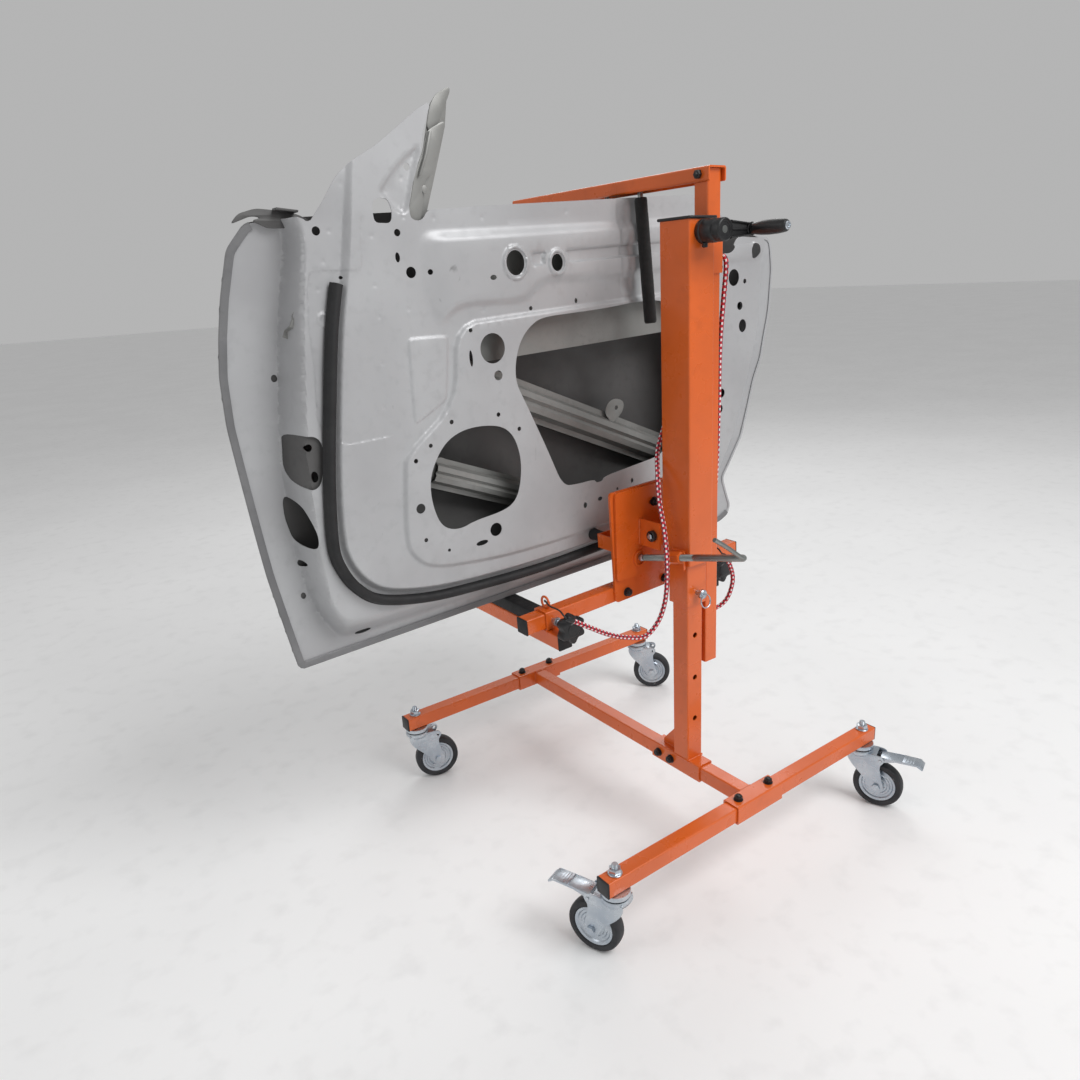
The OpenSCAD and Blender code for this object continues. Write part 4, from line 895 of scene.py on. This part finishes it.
def make_fasteners():
    """Capped bolts of the base, plates and top arm, with their nuts."""
    sleeve = 18.4
    heads, nuts = [], []
    for side in (-BEAM_Y, BEAM_Y):
        for x in (-42, 42):
            heads.append(cap_head("tee_cap", x, side, BEAM_Z + sleeve, (0, 0, 1)))
            nuts.append(hex_nut("tee_nut", x, side, BEAM_Z - sleeve, (0, 0, -1)))
    for y in (-150, -115):
        heads.append(cap_head("foot_cap", -sleeve, y, BEAM_Z, (-1, 0, 0)))
        nuts.append(hex_nut("foot_nut", sleeve, y, BEAM_Z, (1, 0, 0)))
    done(join("base_bolt_caps", heads), "base", "black_plastic", ["base_bolts"])
    done(join("base_bolt_nuts", nuts), "base", "zinc_plate")

    heads, nuts = [cap_head("clamp_cap", *rolled(0, -92.4, 690), (0, -1, 0))], []
    for x in (-75, 25):
        heads.append(cap_head("lower_cap", *rolled(x, -86.6, CROSS_Z), (0, -1, 0)))
        nuts.append(hex_nut("lower_nut", *rolled(x, -51.6, CROSS_Z), (0, 1, 0)))
    nuts.append(hex_nut("clamp_nut", *rolled(0, -81.6, 690), (0, 1, 0)))
    done(join("plate_bolt_caps", heads), "carriage", "black_plastic", ["plate_bolts"])
    done(join("plate_bolt_nuts", nuts), "carriage", "zinc_plate")

    arm = [cap_head("arm_cap", 70.4, MAST_Y, ARM_Z, (1, 0, 0))]
    arm.append(hex_nut("arm_nut", 28.4, MAST_Y, ARM_Z, (-1, 0, 0)))
    done(join("arm_bolt_cap", arm), "post", "black_plastic", ["arm_bolt"])

    pivot = [hex_nut("pivot_nut", -40.2, *PIVOT, (-1, 0, 0), 17, 9, 5, 3),
        hex_nut("pivot_head", 40.2, *PIVOT, (1, 0, 0), 17, 8, 5, 0.5),
        turned("pivot_shank", [(0, -40), (4.95, -40), (4.95, 40), (0, 40)], 24, at(0, *PIVOT, (1, 0, 0)))]
    done(join("pivot_bolt", pivot), "lift", "zinc_plate", ["tilt_bolt"])
    collar = turned("pivot_collar", [(5.2, 0), (10.2, 0), (10.6, 0.6), (10.6, 7), (9.4, 8.6), (5.2, 8.6)],
        28, at(-40.6, *PIVOT, (-1, 0, 0)))
    done(collar, "lift", "black_plastic")


def star_head(name, d, t, hub):
    """Star grip with six lobes, its hub below Z = 0."""
    outline = []
    for k in range(72):
        a = k * math.tau / 72
        r = 0.5 * d - 0.065 * d * (1 + math.cos(6 * a))
        outline.append((r * math.cos(a), r * math.sin(a)))
    head = plate(name, outline, t, min(3.0, t / 3.2))
    settle(head, moved(0, 0, t / 2))
    modify(head, "BEVEL", width=0.8 * MM, segments=2, limit_method="ANGLE", angle_limit=math.radians(50))
    skirt = turned(name + "_hub", [(0, -hub), (0.17 * d, -hub), (0.19 * d, -hub + 1.5), (0.23 * d, 1),
        (0, 1)], 32)
    crown = turned(name + "_crown", [(0, t - 0.5), (0.26 * d, t - 0.5), (0.22 * d, t + 1.4), (0, t + 2)],
        32)
    return join(name, [head, skirt, crown])


def make_knobs():
    """Star knobs of the support arms and the capped screw of the post."""
    for side, x in ARMS:
        grip = star_head("grip", 56, 20, 18)
        settle(grip, at(*rolled(x, -127, CROSS_Z), (0, -1, 0)))
        grip.data.materials.append(PAINTS["black_plastic"])
        nut = hex_nut("knob_nut", *rolled(x, -93, CROSS_Z), (0, -1, 0), 15, 7, 3.9, 9)
        shank = turned("knob_shank", [(0, 0), (3.9, 0), (3.9, 30), (0, 30)], 20,
            at(*rolled(x, -82.2, CROSS_Z), (0, -1, 0)))
        steel = join("knob_steel", [nut, shank])
        steel.data.materials.append(PAINTS["zinc_plate"])
        done(join(f"{side}_star_knob", [grip, steel]), f"{side}_knob", "black_plastic", [f"{side}_knob"])
    head = cap_head("post_screw", 66.2, MAST_Y, 1114, (1, 0, 0), 17, 16)
    done(head, "post_knob", "black_plastic", ["post_knob"])


# ---------------------------------------------------------------- casters


def caster_matrix(k):
    x, y, angle = CASTERS[k]
    return moved(x, y, 0, angle, "Z")


def upright(side):
    """Turns a plate drawn in XY to stand in the XZ plane at a place across the wheel."""
    return Matrix(((1, 0, 0, 0), (0, 0, -1, side * MM), (0, 1, 0, 0), (0, 0, 0, 1)))


def make_fork_master(name):
    """Pressed fork with its crown, legs, race and axle nuts, in the caster's own frame."""
    leg = [(-22.4, 122), (-22.4, 108), (-12, 92), (14, 66), (26, 44), (32, 37), (40, 34.5), (48, 37),
        (54, 44), (55, 52), (50, 66), (46, 84), (44, 100), (48, 106), (52, 112), (51, 119), (46, 123.5),
        (30, 125)]
    hole = ring(44, 113.5, 3.1, count=16)
    parts = []
    for side in (-18.5, 18.5):
        parts.append(plate(name, soften(leg, 5, 2), 3, 0.7, [hole], upright(side)))
        parts.append(hex_nut("axle_nut", TRAIL, math.copysign(20, side), AXLE_Z,
            (0, math.copysign(1, side), 0), 15, 4.6, 4.9, 0.2))
    crown = rounded_box("crown", (58.2, 39.6, 3), (6.9, 0, 123), 1.4, 3)
    race = turned("race", [(6.2, 112), (17, 112.5), (23, 115), (26, 119), (26.4, 124), (25, 127),
        (6.2, 127)], 40)
    return join(name, [*parts, crown, race])


def make_wheel_masters():
    """Tyre with its tread edges, and the steel disc with its bearing, turned about Z."""
    tyre = turned("tyre", [(37.4, -11), (39, -12.4), (44, -13), (47.2, -12.2), (49, -9.6), (49.8, -5),
        (50, 0), (49.8, 5), (49, 9.6), (47.2, 12.2), (44, 13), (39, 12.4), (37.4, 11), (36.2, 6),
        (36.2, -6), (37.4, -11)], 72)
    disc = turned("disc", [(5.1, -15.6), (9, -15.6), (10, -15), (13.4, -15), (14.2, -13.8), (14.4, -8.8),
        (16, -7.4), (19, -7.2), (20.5, -8.6), (24.5, -8.8), (26, -7.2), (30, -7.4), (32, -9.6),
        (36.6, -10.6), (36.8, 0), (36.6, 10.6), (32, 9.6), (30, 7.4), (26, 7.2), (24.5, 8.8), (20.5, 8.6),
        (19, 7.2), (16, 7.4), (14.4, 8.8), (14.2, 13.8), (13.4, 15), (10, 15), (9, 15.6), (5.1, 15.6),
        (5.1, -15.6)], 56)
    return tyre, disc


def make_casters():
    fork = make_fork_master("fork_master")
    tyre, disc = make_wheel_masters()
    axle = moved(TRAIL, 0, AXLE_Z, 90)
    stem = turned("stem_master", [(0, 111), (5.8, 111), (5.8, 127.6), (21, 128), (25.6, 130), (26, 134.5),
        (25, 137.9), (0, 137.9)], 40)
    lock = hex_nut("stem_nut", 0, 0, 170.4, (0, 0, 1), 19, 9, 5.8, 8)
    washer = turned("stem_washer", [(0, 168.1), (12, 168.1), (12.6, 168.7), (12.6, 170), (12, 170.6),
        (0, 170.6)], 32)
    neck = turned("stem_neck", [(0, 137), (5.8, 137), (5.8, 170), (0, 170)], 24)
    stem = join("stem_master", [stem, lock, washer, neck])
    pedal_side = plate("pedal_side", [(a + 44, b) for a, b in [(-5, 110.5), (-6, 116), (0, 119), (30, 121),
        (72, 121.5), (81.8, 113), (80, 111.8), (70, 118), (30, 116.5), (14, 112), (5, 109)]], 2, 0.5)
    sides = [copy_of(pedal_side, "pedal_side_a", upright(-15)), copy_of(pedal_side, "pedal_side_b",
        upright(15))]
    bpy.data.objects.remove(pedal_side)
    top = [rounded_box("pedal_top", size, (0, 0, 0), 0.9, 2, place) for size, place in (
        ((34, 31, 2.2), moved(103, 0, 120.5, 2, "Y")), ((12, 31, 2.2), moved(121, 0, 117.2, 38, "Y")),
        ((46, 30, 2), moved(66, 0, 119.5)))]
    ribs = [rounded_box("pedal_rib", (2, 26, 1.6), (92 + 5 * k, 0, 122 - 0.4 * k), 0.6, 2)
        for k in range(5)]
    pin = turned("pedal_pin", [(0, -21), (3, -21), (3, 21), (0, 21)], 20, at(44, 0, 113.5, (0, 1, 0)))
    pedal = join("pedal_master", [*sides, *top, *ribs, pin])

    stems = []
    for k in range(4):
        place = caster_matrix(k)
        done(copy_of(fork, f"caster_bracket_{k + 1}", place), f"caster_{k + 1}", "zinc_plate",
            [f"caster_fork_{k + 1}"])
        rim = copy_of(disc, "rim", place @ axle)
        rim.data.materials.append(PAINTS["zinc_plate"])
        rubber = copy_of(tyre, "rubber", place @ axle)
        rubber.data.materials.append(PAINTS["tyre_rubber"])
        done(join(f"wheel_assembly_{k + 1}", [rubber, rim]), f"wheel_{k + 1}", "tyre_rubber",
            [f"caster_wheel_{k + 1}"], 30)
        stems.append(copy_of(stem, "stem", place))
        if k < 2:
            done(copy_of(pedal, f"pedal_plate_{k + 1}", place), f"pedal_{k + 1}", "zinc_plate",
                [f"brake_pedal_{k + 1}"])
    done(join("caster_kingpins", stems), "base", "zinc_plate", ["caster_stems"])
    for master in (fork, tyre, disc, stem, pedal):
        bpy.data.objects.remove(master)


# ---------------------------------------------------------------- mast, crank, screw


def make_crank():
    """Housing, hub, ribbed arm and grip of the lifting crank."""
    out = moved(0, -215, CRANK_Z, 90)
    shell = turned("crank_shell", [(6.4, 0), (18.6, 0), (19.3, 1), (19.3, 7), (18.4, 8.2), (18.2, 9.5),
        (19, 11), (19, 30), (18, 33), (16.5, 34.4), (6.4, 34.4)], 48, out)
    boss = turned("shell_boss", [(0, 0), (4.6, 0), (4.6, 6), (3.6, 7), (0, 7)], 20,
        at(-2, -223, 1153.5, (0, 0, -1)))
    done(join("crank_gearcase", [shell, boss]), "lift", "black_plastic", ["crank_housing"])

    hub = turned("hub", [(0, 0), (17, 0), (18.4, 1.4), (18.4, 13.6), (17.4, 15.2), (16, 16), (15.2, 14.6),
        (12.5, 14.6), (11.8, 13.4), (0, 13.4)], 48)
    web = plate("web", soften([(0, -16.4), (40, -12.6), (68, -10.2), (78, -7), (79, 7), (68, 10.2),
        (40, 12.6), (0, 16.4)], 5, 2), 9, 1.2)
    settle(web, moved(0, 0, 5.2))
    ribs = []
    for s in (-1, 1):
        rib = plate("rib", [(17, s * 11.6), (66, s * 6.6), (66, s * 9), (17, s * 14.4)][:: s], 4, 0.8)
        ribs.append(settle(rib, moved(0, 0, 11.2)))
    middle = plate("rib_mid", [(18, -1.2), (64, -1.2), (64, 1.2), (18, 1.2)], 3, 0.6)
    ribs.append(settle(middle, moved(0, 0, 10.6)))
    end = turned("arm_end", [(0, 0.5), (10.6, 0.5), (11, 1.2), (11, 11.6), (10.2, 12.6), (0, 12.6)], 32,
        moved(68, 0, 0))
    arm = join("crank_lever", [hub, web, *ribs, end])
    settle(arm, moved(0, -250, CRANK_Z, 90))
    done(arm, "crank", "black_plastic", ["crank_arm"])

    grip_place = moved(68, -263.4, CRANK_Z, 90)
    grip = turned("grip_body", [(0, 0), (8, 0), (9, 0.8), (9.6, 6), (11.2, 18), (11.9, 34), (11.6, 50),
        (10.4, 62), (9.8, 66), (8.6, 68.2), (6.6, 69), (0, 69)], 40, grip_place)
    grip.data.materials.append(PAINTS["black_plastic"])
    cap = turned("grip_cap", [(0, 68), (6.4, 68), (6.6, 70.6), (5.6, 71.8), (3.4, 72), (3, 70.8),
        (0, 70.8)], 28, grip_place)
    cap.data.materials.append(PAINTS["zinc_plate"])
    done(join("crank_handle", [grip, cap]), "grip", "black_plastic", ["crank_grip"])


def make_mast_fittings():
    """Rounded mast cap, ring pin and the weld beads of the frame."""
    cap = rounded_box("mast_lid", (66, 76, 5), (0, MAST_Y, 1194.6), 1.8, 3)
    plug = rounded_box("mast_plug", (53.4, 63.4, 8), (0, MAST_Y, 1190), 0.8, 2)
    done(join("mast_top_cap", [cap, plug]), "lift", "black_plastic", ["mast_cap"])

    shank = turned("pin_shank", [(0, -62), (4, -62), (4.95, -60), (4.95, 10), (8.6, 10), (9, 11), (9, 16.6),
        (7.6, 18), (4, 18.6), (0, 18.6)], 32, at(0, -205, 532, (0, -1, 0)))
    loops = []
    for k in range(100):
        a = k / 48 * math.tau
        loops.append((12.6 * math.sin(a) * 0.98, -226 - k * 0.025 + 12.6 * 0.16 * math.cos(a),
            520.5 + 12.6 * math.cos(a)))
    split = swept("split_ring", loops, ring(0, 0, 0.95, count=8))
    done(join("mast_ring_pin", [shank, split]), "pin", "zinc_plate", ["ring_pin"])


def weld_bead(path, radius=2.2, seed=1):
    """A rippled fillet bead along a line in mm."""
    line = spread(path, 1.6)
    rng = random.Random(seed)
    bead = swept("bead", line, ring(0, 0, 1.0, count=8))
    for k in range(len(line)):
        r = radius * (0.9 + 0.16 * math.cos(k * 1.55) + rng.uniform(-0.05, 0.05))
        centre = Vector(line[k]) * MM
        for j in range(8):
            v = bead.data.vertices[k * 8 + j]
            v.co = centre + (v.co - centre) * r
    return bead


def make_welds():
    """Fillet welds where the tubes and plates of the trolley join."""
    beads = []
    for side in (-1, 1):
        y = side * (BEAM_Y - 18.6)
        for x in (-15.2, 15.2):
            beads.append(weld_bead([(x, y, 140), (x, y, 166)], 2, 3))
        beads.append(weld_bead([(-14, y, 168.3), (14, y, 168.3)], 2, 4))
    z = 171.6
    for a, b in (((-20, -200), (20, -200)), ((20, -200), (20, -160)), ((20, -160), (-20, -160)),
            ((-20, -160), (-20, -200))):
        beads.append(weld_bead([(*a, z), (*b, z)], 2.2, 5))
    for x in (-2.4, 2.4):
        beads.append(weld_bead([(x, -159, 172), (x, -116, 172)], 1.8, 6))
    done(join("base_welds", beads), "base", "orange_paint", (), 60)

    beads = [weld_bead([(30.6, -200, 1106), (30.6, -200, 1195)], 2, 7),
        weld_bead([(-36, -206, 586), (-36, -206, 621)], 1.8, 8), weld_bead([(-35, -144.6, 622),
        (-35, -144.6, 652)], 2, 9), weld_bead([(35, -144.6, 622), (35, -144.6, 652)], 2, 10)]
    done(join("mast_welds", beads), "lift", "orange_paint", (), 60)

    beads = []
    for x in (-40.4, 40.4):
        beads.append(weld_bead([(x, -92.4, 612), (x, -92.4, 662)], 2.2, 11))
    done(join("tilt_welds", beads), "tilt", "orange_paint", (), 60)

    beads = [weld_bead([rolled(x, -81.4, 537.4) for x in (-100, 0, 100)], 1.9, 12)]
    for x in (-102.4, -61.6, 61.6, 102.4):
        beads.append(weld_bead([rolled(x, -81.2, 612), rolled(x, -81.2, 638)], 1.8, 13))
    done(join("carriage_welds", beads), "carriage", "orange_paint", (), 60)
    for side, cx in ARMS:
        beads = []
        for dx in (-15.2, 15.2):
            beads.append(weld_bead([rolled(cx + dx, -84, 503.4), rolled(cx + dx, -50, 503.4)], 1.8, 14))
        done(join(f"{side}_arm_welds", beads), f"{side}_arm", "orange_paint", (), 60)


def make_tilt_screw():
    """Tilt screw with its thread, bent handle, seat and nut."""
    back = Vector((0, -math.cos(SCREW_RISE), math.sin(SCREW_RISE)))
    tip = Vector(SCREW_TIP)

    def along(d):
        return tip + back * d

    profile = [(0, 15.6), (5, 15.6), (6.2, 17)]
    for k in range(66):
        profile += [(6.3, 18 + 2 * k), (5.3, 19 + 2 * k)]
    profile += [(6.4, 151), (6.4, 262), (6, 267), (4, 270), (0, 271)]
    rod = turned("screw_rod", profile, 28, at(*along(0), back))
    end = along(266)
    up = Vector((0, math.sin(SCREW_RISE), math.cos(SCREW_RISE)))
    handle = wire("screw_handle", [end - Vector((-3, 0, 0)), end + Vector((-6, 0, 3)),
        end + Vector((-30, 0, 0)) + up * 23, end + Vector((-54, 0, 0)) + up * 41,
        end + Vector((-60, 0, 0)) + up * 45], 4, 12)
    done(join("tilt_spindle", [rod, handle]), "tilt_screw", "plain_steel", ["tilt_screw"])
    foot = turned("foot_ball", [(0, 1.5), (3, 1.5), (5.4, 3.2), (6.8, 5.8), (7, 8.6), (6.2, 12), (5.4, 14),
        (0, 14.6)], 32, at(*along(0), back))
    done(foot, "screw_foot", "zinc_plate", ["screw_foot"])


# ---------------------------------------------------------------- pads, foam, eyes


def make_soft_parts():
    """Rubber pads with ribs, buffers, plugs and the foam of the clamp rods."""
    for side, x in ARMS:
        pad = rounded_box("pad", (29.6, 208, 26.6), (x, 60, 517.1), 3.5, 3)
        ribs = [rounded_box("pad_rib", (30, 3, 24), (x, -36 + 12 * k, 516.5), 1.2, 2) for k in range(17)]
        plugs = [rounded_box("plug", (30, 4, 30), (x, -116.4, 488.4), 1.6, 3),
            rounded_box("plug", (30, 4, 30), (x, 166.4, 488.4), 1.6, 3)]
        piece = join(f"{side}_rubber_pad", [pad, *ribs, *plugs])
        settle(piece, ROLLED)
        done(piece, f"{side}_arm", "black_rubber", [f"{side}_arm_pad"])
    buffers = []
    for x in (-82, 82):
        buffers.append(turned("buffer", [(0, 0), (11, 0), (12, 1), (12, 6), (11, 8), (11, 32), (12, 34),
            (12, 38), (10.6, 39.2), (0, 39.2)], 36, at(*rolled(x, -39.6, 625), (0, 1, 0))))
    for x in (-312.5, 246.5):
        end = rounded_box("end_plug", (4, 30, 30), (x, -66.6, CROSS_Z), 1.6, 3, ROLLED)
        buffers.append(end)
    done(join("rubber_stops", buffers), "carriage", "black_rubber", ["stop_buffers"])

    caps = []
    for sx in (-1, 1):
        for sy in (-1, 1):
            caps.append(rounded_box("beam_plug", (4, 30, 30), (sx * 371.2, sy * BEAM_Y, BEAM_Z), 1.8, 3))
            caps.append(rounded_box("beam_plug_in", (10, 24.4, 24.4), (sx * 365.5, sy * BEAM_Y, BEAM_Z),
                0.8, 2))
    done(join("beam_plugs", caps), "base", "black_plastic", ["beam_end_caps"])

    for name, y, lean, length, body in (("near", -14, 5.6, 225, "near_rod"),
            ("outer", 78, -9, 150, "outer_rod")):
        a = math.radians(lean)
        down = Vector((0, -math.sin(a), -math.cos(a)))
        start = Vector((POST_X, y, 1255.4))
        profile = [(0, 12 + length - 0.5), (8, 12 + length), (10.6, 12 + length - 1.4),
            (11.8, 12 + length - 5)]
        for k in range(12):
            profile.append((11.8 + 0.15 * math.sin(k * 2.1), 12 + length - 8 - (length - 16) * k / 12))
        profile += [(11.8, 16), (11, 12.8), (9.6, 12), (5, 12), (5, 14)]
        grip = turned(f"{name}_grip", profile, 32, at(*start, down))
        done(grip, body, "foam", [f"{name}_rod_foam"])


# ---------------------------------------------------------------- add-on


class TrolleySizes(bpy.types.PropertyGroup):
    paint_colour: bpy.props.FloatVectorProperty(name="Paint colour",
        description="Colour of the powder coat", subtype="COLOR", default=(0.72, 0.125, 0.014), min=0,
        max=1)
    room_light: bpy.props.FloatProperty(name="Room light",
        description="Strength of the even light round the trolley", default=0.46, min=0)


def operator(name, label, doc, work):
    """Makes one operator class for a piece or a group of like pieces."""

    def execute(self, context):
        work(context.scene.trolley_sizes)
        return {"FINISHED"}

    return type(name, (bpy.types.Operator,), {
        "bl_idname": "trolley." + label.lower().replace(" ", "_"), "bl_label": label, "__doc__": doc,
        "execute": execute, "bl_options": {"REGISTER", "UNDO"}})


OPERATORS = [
    operator("TROLLEY_OT_stage", "Studio stage", "Adds the floor, the lights and the camera", make_stage),
    operator("TROLLEY_OT_finishes", "Finishes", "Makes the materials and dresses the frame",
        lambda p: (make_finishes(p), dress_frame())),
    operator("TROLLEY_OT_cord", "Bungee cord", "Adds the bungee cord and its hooks", lambda p: make_cord()),
    operator("TROLLEY_OT_panel", "Door panel", "Adds the pressed inner panel",
        lambda p: make_inner_panel()),
    operator("TROLLEY_OT_skin", "Door skin", "Adds the outer skin with its hem",
        lambda p: make_outer_skin()),
    operator("TROLLEY_OT_fittings", "Door fittings", "Adds the seal, beams and brackets of the door",
        lambda p: make_door_fittings()),
    operator("TROLLEY_OT_fasteners", "Fasteners", "Adds the capped bolts and nuts",
        lambda p: make_fasteners()),
    operator("TROLLEY_OT_knobs", "Knobs", "Adds the star knobs", lambda p: make_knobs()),
    operator("TROLLEY_OT_casters", "Casters", "Adds the casters with their wheels and pedals",
        lambda p: make_casters()),
    operator("TROLLEY_OT_crank", "Crank", "Adds the lifting crank", lambda p: make_crank()),
    operator("TROLLEY_OT_mast", "Mast fittings", "Adds the mast cap and the ring pin",
        lambda p: make_mast_fittings()),
    operator("TROLLEY_OT_welds", "Weld beads", "Adds the weld beads", lambda p: make_welds()),
    operator("TROLLEY_OT_screw", "Tilt screw", "Adds the tilt screw", lambda p: make_tilt_screw()),
    operator("TROLLEY_OT_soft", "Rubber and foam", "Adds the pads, plugs, buffers and foam",
        lambda p: make_soft_parts()),
]


class TROLLEY_PT_panel(bpy.types.Panel):
    """Lists the trolley's operators"""

    bl_label = "Door trolley"
    bl_idname = "TROLLEY_PT_panel"
    bl_space_type = "VIEW_3D"
    bl_region_type = "UI"
    bl_category = "Trolley"

    def draw(self, context):
        sizes = context.scene.trolley_sizes
        self.layout.prop(sizes, "paint_colour")
        self.layout.prop(sizes, "room_light")
        for item in OPERATORS:
            self.layout.operator(item.bl_idname)


CLASSES = [TrolleySizes, *OPERATORS, TROLLEY_PT_panel]


def register():
    for item in CLASSES:
        bpy.utils.register_class(item)
    bpy.types.Scene.trolley_sizes = bpy.props.PointerProperty(type=TrolleySizes)


def unregister():
    del bpy.types.Scene.trolley_sizes
    for item in reversed(CLASSES):
        bpy.utils.unregister_class(item)


def main():
    register()
    for item in OPERATORS:
        group, name = item.bl_idname.split(".")
        getattr(getattr(bpy.ops, group), name)()


if __name__ == "__main__":
    main()
